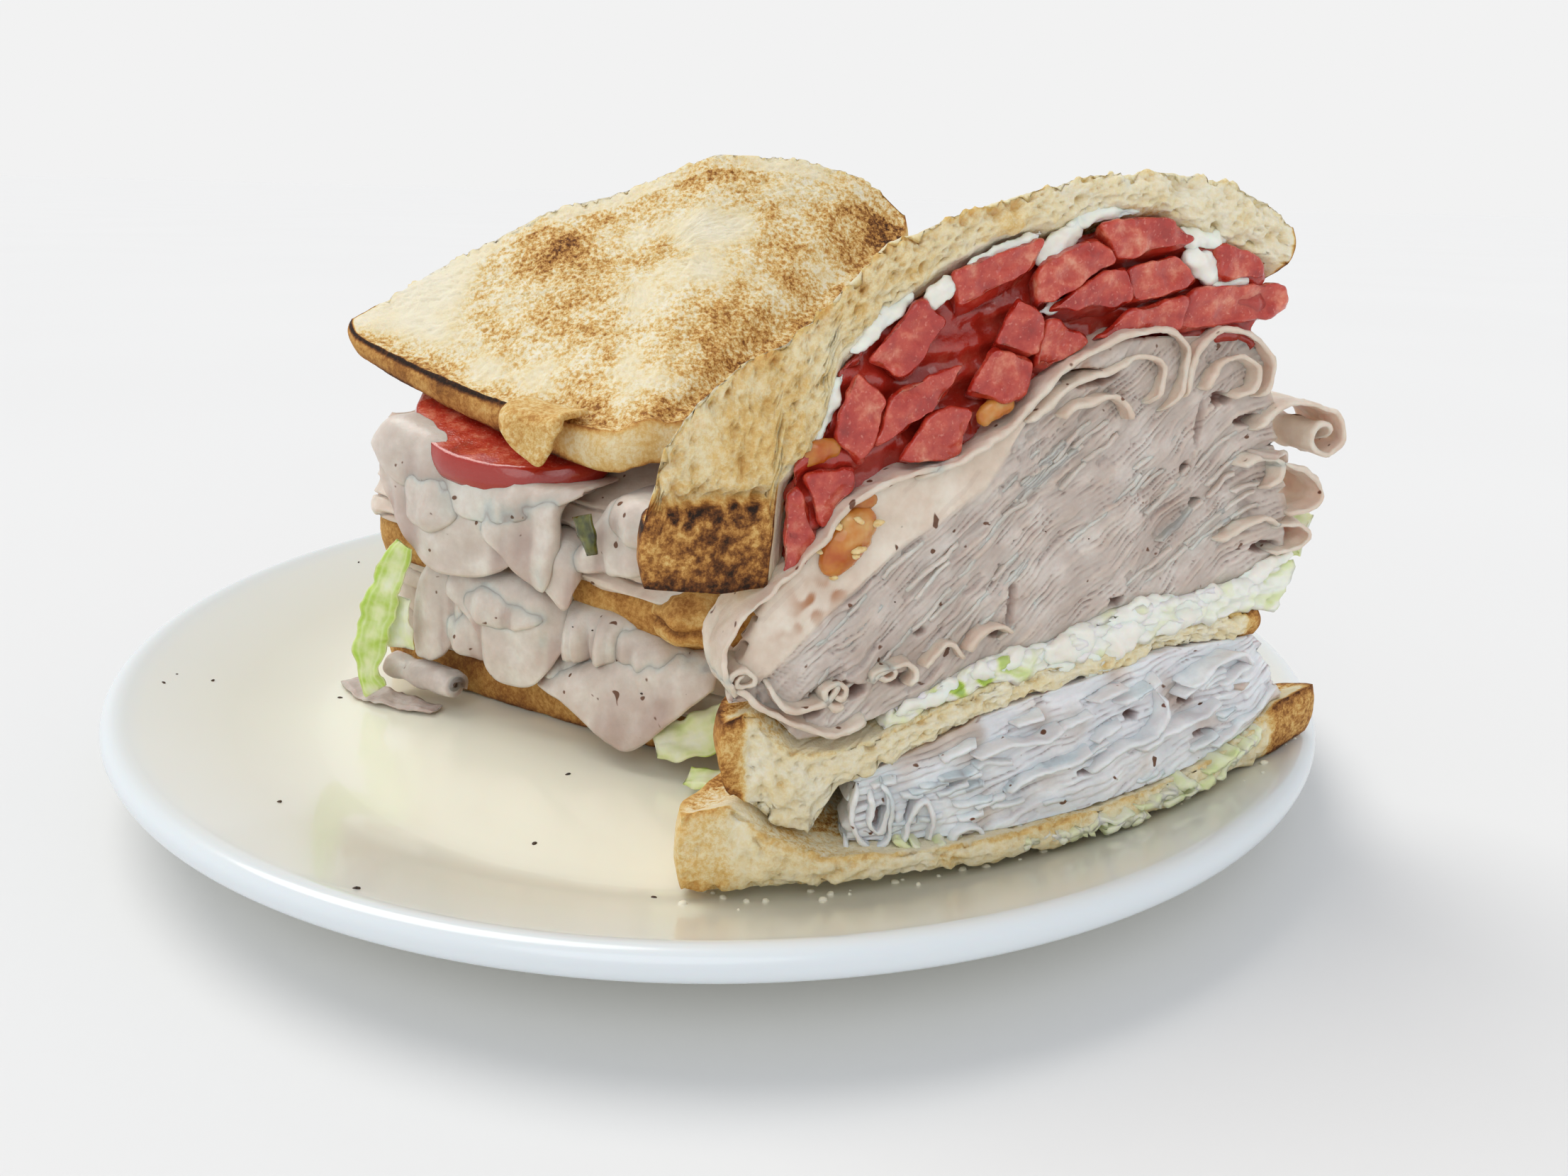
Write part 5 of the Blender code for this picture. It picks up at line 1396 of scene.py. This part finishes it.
# %% Tomato blocks
FRONT_TOMATO = [
    ((14.8, 101.8), (36.6, 104.7), (35.4, 109.8), (17.0, 109.2), 24),
    ((-1.5, 100.8), (14.2, 102.0), (16.0, 107.6), (5.0, 105.2), 20),
    ((-11.3, 105.3), (4.2, 106.2), (2.8, 111.9), (-1.0, 111.6), 20),
    ((5.0, 106.5), (17.4, 110.0), (12.5, 114.3), (3.5, 112.3), 20),
    ((-12.8, 106.1), (0.6, 112.9), (-3.5, 116.9), (-13.5, 112.4), 16),
    ((-27.0, 105.8), (-15.2, 111.8), (-13.0, 116.9), (-28.8, 111.6), 18),
    ((1.3, 113.5), (16.2, 116.6), (9.0, 120.2), (-2.6, 119.4), 16),
    ((22.0, 110.9), (30.2, 110.9), (28.8, 114.2), (20.8, 116.2), 14),
    ((-42.6, 98.4), (-36.0, 95.2), (-29.4, 103.8), (-34.2, 107.2), 16),
    ((-47.6, 86.6), (-42.8, 81.8), (-38.9, 91.5), (-44.4, 96.6), 12),
    ((-40.6, 84.4), (-29.6, 90.8), (-25.3, 97.6), (-37.6, 93.2), 18),
    ((-36.6, 81.7), (-25.4, 81.9), (-23.5, 89.9), (-30.2, 89.7), 16),
    ((-55.6, 63.4), (-49.8, 69.6), (-53.4, 78.2), (-55.2, 77.0), 14),
    ((-49.0, 71.4), (-44.6, 77.4), (-44.4, 81.0), (-52.4, 80.6), 12),
    ((-24.6, 92.4), (-14.2, 90.9), (-13.2, 97.6), (-20.9, 99.4), 18),
    ((-20.4, 100.2), (-12.9, 98.3), (-11.8, 104.4), (-16.9, 107.4), 18),
    ((-12.4, 96.6), (-9.6, 96.4), (-2.4, 100.6), (-11.0, 104.2), 20),
]
TOMATO_APEX = 66.0


def tomato_block(name, node, quad, reach, seed):
    """A sawn block of tomato. Its face bulges a little and its corners are rounded."""
    corners = np.array(quad, float)
    centre = corners.mean(axis=0)
    away = corners - centre
    corners = corners + 0.5 * away / np.linalg.norm(away, axis=1, keepdims=True)
    ring = []
    for i in range(4):
        before, here, after = corners[i - 1], corners[i], corners[(i + 1) % 4]
        for t in np.linspace(0, 1, 9):
            a, b = here + (before - here) * 0.2 * (1 - t), here + (after - here) * 0.2 * t
            ring.append(a + (b - a) * t)
        ring += [here + (after - here) * t for t in np.linspace(0.24, 0.76, 14)]
    ring = np.array(ring)
    stations = [(-0.9, g) for g in np.linspace(0.06, 0.90, 12)] + [(-0.75, 0.95), (-0.35, 0.985), (0.2, 1.0)]
    stations += [(d, 1.0 - 0.6 * ((d - 0.2) / (reach - 0.2)) ** 1.5) for d in np.linspace(1, reach, 12)]
    stations += [(reach + 0.3, g) for g in (0.3, 0.15, 0.05)]
    rows = []
    for depth, grow_here in stations:
        share = max(depth, 0) / FRONT_CUT.depth
        pu = (centre[0] + (ring[:, 0] - centre[0]) * grow_here) * (1 - share)
        pz = (centre[1] + (ring[:, 1] - centre[1]) * grow_here) * (1 - share) + TOMATO_APEX * share
        rows.append(np.concatenate([FRONT_CUT.place(pu, np.full(len(pu), depth)), pz[:, None]], axis=1))

    def relief(points, ring, place_index):
        face = ring < 14
        moved = 0.5 * layered(points, 6, 3, seed) + 0.10 * noise(points, 1.2, seed + 2)
        dished = 0.55 * noise(points, 4.0, seed + 3) - 0.5 * np.abs(noise(points, 5.0, seed + 4))
        return moved + np.where(face, dished, 0.0), {"skin": np.where(~face & (place_index < 25), 0.8, 0.0)}

    return dress(skin(name, rows, TOMATO, relief), node, slot="ripe_tomato")


for i, (*quad, reach) in enumerate(FRONT_TOMATO, 1):
    tomato_block(f"tomato_block_{i}", f"front_tomato_{i}", quad, reach, seed=60 + i)

# %% [markdown]
# ### Tomato rounds
#
# The rear half shows a whole round under its lid, and two smaller ones lie behind it. The rim of each
# is skin: smooth, glossy, orange-red.

# %% Tomato rounds
def tomato_round(name, node, x, y, radius, lower, upper, seed):
    """A slice across a whole tomato, between two surfaces."""
    angle = np.linspace(0, 2 * math.pi, 150, endpoint=False)
    outline = stacked(x + radius * np.cos(angle), y + radius * np.sin(angle))
    rings = 26
    rows, on_wall, *_ = layer_rings(outline, outline, lower, upper, rings, levels=9, puff=0.9)

    def relief(points, ring, place_index):
        wall = on_wall(ring)
        moved = 0.30 * layered(points, 9, 2, seed) + np.where(wall, 0.0, 0.12 * noise(points, 1.6, seed + 1))
        rim = np.minimum(ring, len(rows) - 1 - ring) / rings
        return moved, {"skin": np.clip(wall + ramp(rim, 0.93, 1.0), 0, 1)}

    return dress(skin(name, rows, TOMATO, relief), node, slot="ripe_tomato")


round_low = raised(rear_heap_top, 2.0)
round_top = raised(round_low, TOMATO_THICKNESS)
for i, (x, y, radius) in enumerate([(-42.0, 2.0, 28.5), (6.0, -9.5, 17.0), (26.0, 24.0, 14.0)], 1):
    tomato_round(f"tomato_round_{i}", f"rear_tomato_{i}", x, y, radius, round_low, round_top, seed=90 + i)

# %% [markdown]
# ## Lettuce
#
# Shredded iceberg is a crisp wavy sheet: thick and pale at its rib, thin and green at its edge. A strip
# leans on the rear half, and a few leaves have slipped between the halves. Each is a two-sided sheet
# along a line of points, with veins lengthways and ripples that grow towards its sides.

# %% Leaves
def leaf_strip(name, node, spine, widths, across, thickness, ripple, greenness, seed, slot="lettuce_leaf",
               finish=LETTUCE, label="green"):
    """A wavy sheet that follows a line of points. greenness is its value at its middle and at its sides."""
    phase = random.Random(seed).uniform(0, math.tau)
    spine = rounded(spine, 3)
    whole = distance_along(spine)[-1]
    steps = max(int(whole / 0.5), 16)
    stops = np.linspace(0, whole, steps)
    line = stacked(*columns_at(spine, stops))
    wide = np.interp(np.linspace(0, 1, steps), np.linspace(0, 1, len(widths)), widths)
    columns = max(int(max(widths) / 0.45), 10)
    s = np.linspace(-1, 1, columns)
    along = np.gradient(line, axis=0)
    along /= np.linalg.norm(along, axis=1, keepdims=True)
    side = np.array(across) - along * (along @ across)[:, None]
    side /= np.linalg.norm(side, axis=1, keepdims=True)
    facing = np.cross(along, side)
    edge_wander = 1 + 0.175 * noise(stacked(stops, 0, seed), 3.0, seed)
    reach = (wide * edge_wander)[:, None] * s / 2
    wave = ripple * (np.sin(stops[:, None] * 0.55 + 2.2 * s + phase) * (0.35 + 0.65 * np.abs(s)) + 0.5 * s**2)
    middle = line[:, None] + reach[..., None] * side[:, None] + wave[..., None] * facing[:, None]
    lumps = 0.35 * layered(middle.reshape(-1, 3), 3.5, 2, seed + 1)
    middle = middle + lumps.reshape(steps, columns, 1) * facing[:, None]
    veins = np.clip(1 - np.abs(((s * max(widths) / 2 + 40) % 1.6) - 0.8) / 0.28, 0, 1)
    from_end = np.minimum(stops, whole - stops)[:, None] / 4
    taper = np.clip(np.minimum(1 - np.abs(s)[None, :], from_end) * 4, 0.25, 1)
    half = thickness / 2 * taper[..., None]
    front = middle + facing[:, None] * (half + 0.10 * veins[:, None])
    back = middle - facing[:, None] * half
    rows = np.concatenate([front, back[:, ::-1]], axis=1)
    closed = np.concatenate([rows[:1] * 0.999 + rows[:1].mean(axis=1, keepdims=True) * 0.001, rows], axis=0)
    green = greenness[0] + (greenness[1] - greenness[0]) * np.abs(s) ** 1.3
    green = np.tile(np.concatenate([green, green[::-1]]), (len(closed), 1)).ravel()
    vein = np.tile(np.concatenate([veins, veins[::-1] * 0.4]), (len(closed), 1)).ravel()

    def relief(points, ring, place_index):
        shade = np.append(green, (greenness[0], greenness[0])) + 0.15 * layered(points, 8, 2, seed + 5)
        marks = {label: np.clip(shade, 0, 1), "vein": 0.5 * np.append(vein, (0, 0))}
        return 0.05 * noise(points, 1.2, seed + 4), marks

    return dress(skin(name, closed, finish, relief), node, slot=slot)


strip = [(-72, -14, 45), (-75.5, -14, 38), (-79.5, -13, 28), (-82.5, -12, 18), (-83, -12.5, 12),
         (-81, -13.5, 9)]
leaf_strip("lettuce_strip", "plate_lettuce_strip", strip, [5, 6.5, 8, 8, 7, 5.5], (1, -0.25, 0), 1.0, 0.8,
           (0.45, 0.75), seed=121)
leaf_strip("lettuce_behind_strip", "plate_lettuce_back",
           [(-74.5, -12, 32), (-75.5, -11.5, 25), (-75, -11, 19)], [6, 8, 7], (1, -0.5, 0), 1.0, 0.5,
           (0.1, 0.35), seed=122)
leaf_strip("leaf_between_halves", "plate_leaf_1", [(-14, -48, 12), (-7, -50, 14), (0, -51, 18), (6, -50, 22)],
           [6, 9, 9, 5], (0, 0.4, 0.9), 1.1, 0.9, (0.25, 0.5), seed=123)
leaf_strip("leaf_on_plate", "plate_leaf_2", [(-7, -56, 8.6), (-1, -58.5, 9), (5, -61, 10.5)],
           [5, 7, 6], (0.3, 0.9, 0.3), 1.1, 0.5, (0.3, 0.6), seed=124)
# Its far end is tucked into the seam, which holds it.
front_leaf_line = [(*FRONT_CUT.place(u, n), z) for u, n, z in (
    (53.5, 4, 62), (53.0, 10, 62), (48.5, 18, 61), (40.0, 24, 59), (30.0, 27, 57), (18.0, 28, 56))]
leaf_strip("leaf_at_right", "front_leaf", front_leaf_line, [9, 12, 12, 10, 8, 5], (0.1, 0, 1), 1.2, 0.9,
           (0.1, 0.4), seed=125)
leaf_strip("pickle_slice", "rear_pickle", [(-28.5, -43, 60), (-27.5, -43.5, 56), (-26.5, -43.8, 52)],
           [4.5, 4.4, 2.5], (1, -0.5, 0), 1.3, 0.2, (0.5, 0.5), seed=126, slot="pickled_cucumber",
           finish=PICKLE)

# %% [markdown]
# ### The green and white seam
#
# Between the middle toast and the upper turkey runs a seam of shredded lettuce pressed into
# mayonnaise: one layer with a ragged front, pale, wet, and green only where an edge pokes out.

# %% Lettuce seam
seam_low = FRONT_CUT.spanning(-36, 46, 66, bow=2)
seam_high = FRONT_CUT.spanning(-34, 48, 66, bow=2)
seam_outline, seam_cut = seam_low.outline(190, 220)
seam_high_outline, _ = seam_high.outline(190, 220)
seam_rows, on_seam_wall, *_ = layer_rings(
    seam_outline, seam_high_outline, raised(front_middle_top, 0.2),
    clear_of(raised(front_lettuce_top, -0.2), front_middle_top, 1.2), rings=20, levels=18,
)


def seam_relief(points, ring, place_index):
    wall = on_seam_wall(ring)
    u, _ = FRONT_CUT.local(points[:, 0], points[:, 1])
    front = wall & seam_cut[place_index]
    flat = stacked(u, points[:, 2] * 1.6, 0)
    frill = 1.6 * layered(flat, 6, 3, 131) + 0.9 * np.abs(noise(flat, 3.0, 132))
    moved = np.where(front, frill, np.where(wall, 1.0 * layered(points, 5, 3, 133), 0.2))
    poke = ramp(layered(flat, 5, 2, 134), 0.35, 0.6)
    bright = np.exp(-((u + 20) / 9) ** 2) * 0.9 + np.exp(-((u - 44) / 5) ** 2) * 0.35
    shade = 0.02 + 0.15 * poke + bright * ramp(noise(flat, 4, 135), -0.05, 0.35)
    return moved, {"green": np.clip(shade, 0, 1), "vein": 0.2 * poke}


dress(skin("lettuce_and_mayonnaise_seam", seam_rows, LETTUCE, seam_relief), "front_lettuce",
      slot="lettuce_leaf")

# %% [markdown]
# ## Scraps of turkey on the plate
#
# A rolled scrap and a flat one lie by the rear half. The roll is a spiral of one slice, as it fell.

# %% Scraps
def rolled_scrap(name, node, start, end, radius, turns, seed):
    """A slice rolled up along a line: rings of a thick spiral, open at both ends."""
    start, end = np.array(start, float), np.array(end, float)
    along = (end - start) / np.linalg.norm(end - start)
    side = np.cross(along, (0, 0, 1))
    side /= np.linalg.norm(side)
    up = np.cross(side, along)
    angle = np.linspace(0, turns * 2 * math.pi, 90)
    grow = radius * (0.35 + 0.65 * angle / angle[-1])
    half_thick, squash = 0.65, 0.82
    outer, inner = (stacked(np.cos(angle) * size, np.sin(angle) * size * squash)
                    for size in (grow + half_thick, grow - half_thick))
    section = np.concatenate([outer, inner[::-1]])
    rows = []
    for t in np.linspace(0, 1, 46):
        wobble = 1 + 0.10 * math.sin(7 * t + seed) + 0.05 * math.sin(17 * t)
        rows.append(start + (end - start) * t + wobble * (section[:, :1] * side + section[:, 1:] * up))

    def relief(points, ring, place_index):
        inside = (place_index >= len(angle)) | (place_index < 30)
        # The inside of the roll is darkened: painted shade.
        return 0.35 * layered(points, 5, 2, seed), {"deep": 0.35 * inside}

    return dress(skin(name, rows, TURKEY, relief), node, slot="roast_turkey")


rolled_scrap("rolled_turkey_scrap", "plate_turkey_roll", (-79, -5, 12.2), (-61.5, -18, 12.2), 3.7, 1.6,
             seed=3)

leaf_strip("flat_turkey_scrap", "plate_turkey_scrap",
           [(-91, -1, 6.6), (-86, -7.5, 6.6), (-76, -14, 6.6), (-66, -19, 6.6)],
           [5, 8, 7, 4], (0.6, 1, 0), 1.0, 0.25, (0.1, 0.1), seed=127, slot="roast_turkey", finish=TURKEY,
           label="deep")

# %% [markdown]
# ## What fills the gaps
#
# Behind the sawn blocks lies more tomato, wet, all the way to the lid. It is only seen between the
# blocks, so one closed layer with a lumpy surface stands for it, a little way behind the cut. It takes
# the deeper red of tomato skin all over, as painted shade in the dark gaps between the blocks.

# %% Tomato behind the blocks
deep_half = FRONT_CUT.spanning(-54, 31, 61, bow=-4)
deep_outline, _ = deep_half.outline(180, 200)
deep_low = raised(front_heap_top, 0.4)
deep_rows, on_deep_wall, *_ = layer_rings(
    deep_outline, deep_outline, deep_low, clear_of(raised(front_lid_low, -0.8), deep_low, 0.8),
    rings=16, levels=34,
)


def deep_relief(points, ring, place_index):
    slices = np.sin(points[:, 2] * 1.15 + 2.5 * noise(points, 14, 141)) * 0.7
    side, flat = 1.1 * layered(points, 7, 3, 142) + slices, 0.3 * layered(points, 6, 2, 143)
    # The whole layer takes the skin's deeper red: painted shade for the gaps between the blocks.
    return np.where(on_deep_wall(ring), side, flat), {"skin": 0.75}


dress(skin("tomato_behind_blocks", deep_rows, TOMATO, deep_relief), "front_tomato_12", slot="ripe_tomato")

# %% [markdown]
# ## Mayonnaise and gel
#
# Mayonnaise was squeezed out where the layers press together, as glossy white smears and drops, and
# amber gel ran out of the tomato. Each is a short closed tube along a path on the cut, flattened
# against it, with a radius at each point and a lumpy relief.

# %% Smears
def smear(name, path, radii, depth, finish, seed, slot, flat, lump):
    """A blob drawn out along a path of (u, z) on the front cut, so deep behind its plane."""
    line = rounded(path, 3)
    whole = distance_along(line)[-1]
    steps = max(int(whole / 0.45), 14)
    u, z = columns_at(line, np.linspace(0, whole, steps))
    share = np.linspace(0, 1, steps)
    radius = np.interp(share, np.linspace(0, 1, len(radii)), radii)
    radius = radius * np.sqrt(np.clip(1 - (2 * share - 1) ** 8, 0.02, 1))
    du, dz = np.gradient(u), np.gradient(z)
    length = np.maximum(np.hypot(du, dz), 1e-6)
    turn = np.linspace(0, 2 * math.pi, 22, endpoint=False)
    side, out = np.cos(turn) * radius[:, None], np.sin(turn) * radius[:, None] * flat
    at_u = u[:, None] - (dz / length)[:, None] * side
    at_z = z[:, None] + (du / length)[:, None] * side
    rows = np.concatenate([FRONT_CUT.place(at_u, depth - out), at_z[..., None]], axis=-1)

    def relief(points, ring, place_index):
        return lump * layered(points, 3.2, 3, seed), {}

    return dress(skin(name, rows, finish, relief), slot=slot)


MAYO_SMEARS = [
    ([(-13, 113), (-9, 116), (-5, 119.5)], [1.6, 2.2, 1.4], 1.5),
    ([(-8, 118.5), (-2, 120.6), (5, 121)], [1.0, 1.4, 0.8], 1.0),
    ([(15, 114.5), (18, 113), (22, 110.5)], [2.0, 2.4, 1.6], 0.6),
    ([(13, 117.5), (18, 116.5), (23, 117)], [1.2, 1.6, 0.9], 0.8),
    ([(-45, 99), (-40, 104), (-35, 108)], [0.8, 1.5, 0.9], 0.8),
    ([(-33, 106), (-30, 108.5), (-27, 111)], [1.6, 1.9, 1.0], 0.2),
    ([(-26, 112), (-19, 115), (-13, 117.5)], [0.7, 1.1, 0.7], 0.8),
    ([(-50, 85), (-48.5, 90), (-46, 96)], [0.8, 1.3, 0.7], 1.0),
    ([(20, 108.5), (24, 110), (29, 110.2)], [0.8, 1.1, 0.7], 0.8),
    ([(-12, 105), (-4, 107.5), (4, 106.4)], [0.6, 0.9, 0.5], 1.2),
]
SEAM_SMEARS = [
    ([(-20, 43), (-12, 45.5), (-4, 46)], [1.5, 2.6, 1.6], -0.6),
    ([(-6, 45), (0, 47.5), (7, 48)], [2.0, 3.2, 2.0], -1.0),
    ([(2, 44), (8, 46), (14, 50)], [1.6, 3.4, 2.0], -1.6),
    ([(6, 50), (14, 52.5), (22, 53.5)], [1.6, 2.6, 1.3], -1.0),
    ([(18, 50), (27, 53), (36, 55.5)], [1.2, 2.0, 1.0], -0.8),
    ([(-34, 37.5), (-27, 40), (-20, 43.5)], [0.9, 1.5, 1.0], -0.4),
    ([(12, 47), (20, 49.5), (29, 50.5)], [1.4, 2.4, 1.0], -1.2),
    ([(-10, 42), (-3, 42.5), (3, 44)], [1.2, 2.0, 1.0], -0.6),
    ([(34, 54), (40, 57.5), (47, 60)], [1.3, 1.8, 1.0], -0.4),
    ([(3, 40), (6, 43), (10, 44)], [1.0, 1.9, 1.0], -1.6),
]
for i, (path, radii, depth) in enumerate(MAYO_SMEARS + SEAM_SMEARS):
    smear(f"mayonnaise_smear_{i + 1}", path, radii, depth, MAYONNAISE, 500 + i, "lettuce_leaf", flat=0.6,
          lump=0.7)

GEL_DROPS = [
    ([(-47, 63.5), (-46.5, 67), (-44, 71), (-40, 74)], [2.2, 3.6, 3.9, 2.0], -0.5),
    ([(-44.5, 72), (-42, 75.5), (-39.5, 76.5)], [1.4, 2.0, 1.2], 0.0),
    ([(-53, 82), (-50, 84), (-46, 84.5)], [1.3, 2.0, 1.4], 0.6),
    ([(-22, 87.5), (-19, 90), (-15.5, 91)], [1.4, 2.1, 1.3], 0.6),
    ([(-31, 84), (-28, 85.5), (-25, 88)], [1.2, 1.6, 1.0], 1.0),
]
for i, (path, radii, depth) in enumerate(GEL_DROPS):
    smear(f"seed_gel_{i + 1}", path, radii, depth, GEL, 540 + i, "ripe_tomato", flat=0.7, lump=0.35)
print("smears:", len(MAYO_SMEARS) + len(SEAM_SMEARS), "and gel drops:", len(GEL_DROPS))

# %% [markdown]
# ## Torn crust on the rear half
#
# Two bits of crust show on the side that faces the camera: a torn flap that hangs from the lid over
# the tomato, made like the slices of meat, and a rounded knob where the middle slice's corner folded
# over, which is a closed skin round a lump.

# %% Torn flap and knob
flap_columns = [(54, 79, 77), (57, 78.5, 73), (60, 78, 69.5), (64.5, 77.5, 66.8), (67, 77.5, 70.5),
                (69, 78, 75.5)]
flap = hanging_sheet(SEEN_LEG, flap_columns, 8.4, flare=0.8, ripple=0.5, waves=1.0, seed=611, thickness=1.5,
                     tuck=3.0, shoulder=2.0)
dress(merged("torn_crust_flap", [flap], BREAD, brown=0.40, grainy=0.5), slot="toasted_bread")

start, along, outward = SEEN_LEG
knob_middle = np.append(start + 97.5 * along + 1.5 * outward, 38.5)
tilt = np.linspace(0.05, math.pi - 0.05, 40)[:, None]
round_it = np.linspace(0, 2 * math.pi, 70, endpoint=False)[None, :]
knob_rows = (knob_middle + (np.cos(tilt) * 9.0 + 0 * round_it)[..., None] * np.append(along, 0)
             + (np.sin(tilt) * np.cos(round_it) * 6.5)[..., None] * np.append(outward, 0)
             + (np.sin(tilt) * np.sin(round_it) * 6.4)[..., None] * np.array((0, 0, 1)))


def knob_relief(points, ring, place_index):
    crease = np.exp(-((points[:, 2] - 38 + 2 * noise(points, 9, 631)) / 0.9) ** 2)
    # The crease is browned as well as sunk: painted shade in the crease.
    brown = 0.50 + 0.12 * layered(points, 8, 2, 633) + 0.25 * crease
    return 0.9 * layered(points, 7, 3, 632) - 1.3 * crease, {"brown": np.clip(brown, 0, 1), "grainy": 0.35}


dress(skin("middle_crust_knob", knob_rows, BREAD, knob_relief), slot="toasted_bread")

# %% [markdown]
# ## Specks, seeds and crumbs, with Geometry Nodes
#
# Pepper lies on the meat, seeds sit in the gel and crumbs have dropped on the plate. Each is one small
# shape repeated at random over a surface, which is the first thing Geometry Nodes are good for: points
# are spread over the given faces, and a low round stone goes on each, turned, stretched and sized at
# random from a fixed seed.

# %% The scatter tree
def scatter_tree(finish):
    tree, given = tree_with("specks_on_surface", {
        "Per Square Metre": 2000.0, "Smallest": 0.0002, "Largest": 0.0006, "Stretch": 1.0, "Rise": 0.0,
        "Seed": 1})
    spread = add(tree, "GeometryNodeDistributePointsOnFaces", {
        "Mesh": given["Geometry"], "Density": given["Per Square Metre"], "Seed": given["Seed"]})
    lift = add(tree, "ShaderNodeVectorMath", {0: spread.outputs["Normal"], "Scale": given["Rise"]},
               operation="SCALE")
    lifted = add(tree, "GeometryNodeSetPosition",
                 {"Geometry": spread.outputs["Points"], "Offset": lift.outputs[0]})
    stone = add(tree, "GeometryNodeMeshIcoSphere", {"Radius": 1.0, "Subdivisions": 2})
    size = add(tree, "FunctionNodeRandomValue", {
        "Min": given["Smallest"], "Max": given["Largest"], "Seed": given["Seed"]}, data_type="FLOAT")
    size = size.outputs["Value"]
    long = add(tree, "ShaderNodeMath", {0: size, 1: given["Stretch"]}, operation="MULTIPLY")
    flat = add(tree, "ShaderNodeMath", {0: size, 1: 0.7}, operation="MULTIPLY")
    scale = add(tree, "ShaderNodeCombineXYZ", {0: long.outputs[0], 1: size, 2: flat.outputs[0]})
    turn = add(tree, "FunctionNodeRandomValue", {
        0: (-0.4, -0.4, 0.0), 1: (0.4, 0.4, 6.283), "Seed": given["Seed"]}, data_type="FLOAT_VECTOR")
    stones = add(tree, "GeometryNodeInstanceOnPoints", {
        "Points": lifted.outputs[0], "Instance": stone.outputs["Mesh"], "Rotation": turn.outputs["Value"],
        "Scale": scale.outputs[0]})
    bumps = add(tree, "ShaderNodeTexNoise", {"Scale": 1500.0, "Detail": 1.0})
    return end_tree(tree, stones.outputs[0], bumps, given["Smallest"], finish)


FACES_OF_A_STONE = 80


def specks_over(name, source, keep, finish, slot, **values):
    """Specks on the faces of an object that keep(centre_mm, normal) allows."""
    faces = source.data.polygons
    centres, normals = np.empty(len(faces) * 3), np.empty(len(faces) * 3)
    faces.foreach_get("center", centres)
    faces.foreach_get("normal", normals)
    chosen = keep(centres.reshape(-1, 3) / MM, normals.reshape(-1, 3))
    patch = new_object(name, source.data.copy())
    shape = bmesh.new()
    shape.from_mesh(patch.data)
    shape.faces.ensure_lookup_table()
    bmesh.ops.delete(shape, geom=[f for f in shape.faces if not chosen[f.index]], context="FACES")
    shape.to_mesh(patch.data)
    shape.free()
    made = baked(patch, scatter_tree(finish), **values)
    print(name, len(made.data.polygons) // FACES_OF_A_STONE, "specks")
    dress(made, slot=slot)


# %% [markdown]
# ### Where the specks lie
#
# A test of the middle and the normal of each face picks the part of a surface that gets specks: what
# faces up or outwards, the open side of the plate, and for crumbs a band under the front cut.

# %% Specks
def from_cut(centres):
    """The places (u, n) of points, along the front cut and behind it."""
    return FRONT_CUT.local(centres[:, 0], centres[:, 1])


def beside_food(c, n):
    return (n[:, 2] > 0.5) & (c[:, 0] < 10) & (np.hypot(c[:, 0], c[:, 1]) < 130)


def under_cut(c, n):
    u, behind = from_cut(c)
    return (n[:, 2] > 0.5) & (np.abs(behind + 2) < 7) & (np.abs(u) < 74)


specks_over("pepper_on_slices", bpy.data.objects["rear_hanging_slices"], lambda c, n: n[:, 2] > -0.2,
            PEPPER, "roast_turkey", Per_Square_Metre=1000.0, Smallest=0.00012, Largest=0.00028, Stretch=1.3,
            Seed=11)
specks_over("pepper_on_cut", front_upper_heap, lambda c, n: (from_cut(c)[1] < 1) & (n[:, 1] < -0.5),
            PEPPER, "roast_turkey", Per_Square_Metre=900.0, Smallest=0.00012, Largest=0.00028, Stretch=1.3,
            Seed=12)
specks_over("pepper_on_plate", plate, beside_food, PEPPER, "glazed_china", Per_Square_Metre=700.0,
            Smallest=0.0002, Largest=0.00045, Stretch=1.6, Seed=13)
specks_over("crumbs_on_plate", plate, under_cut, BREAD, "toasted_bread", Per_Square_Metre=24000.0,
            Smallest=0.0002, Largest=0.0008, Stretch=1.2, Seed=14)
specks_over("seeds_in_gel", bpy.data.objects["seed_gel_1"], lambda c, n: n[:, 1] < 0.1, SEED, "ripe_tomato",
            Per_Square_Metre=52000.0, Smallest=0.0006, Largest=0.0009, Stretch=1.7, Rise=0.0001, Seed=15)
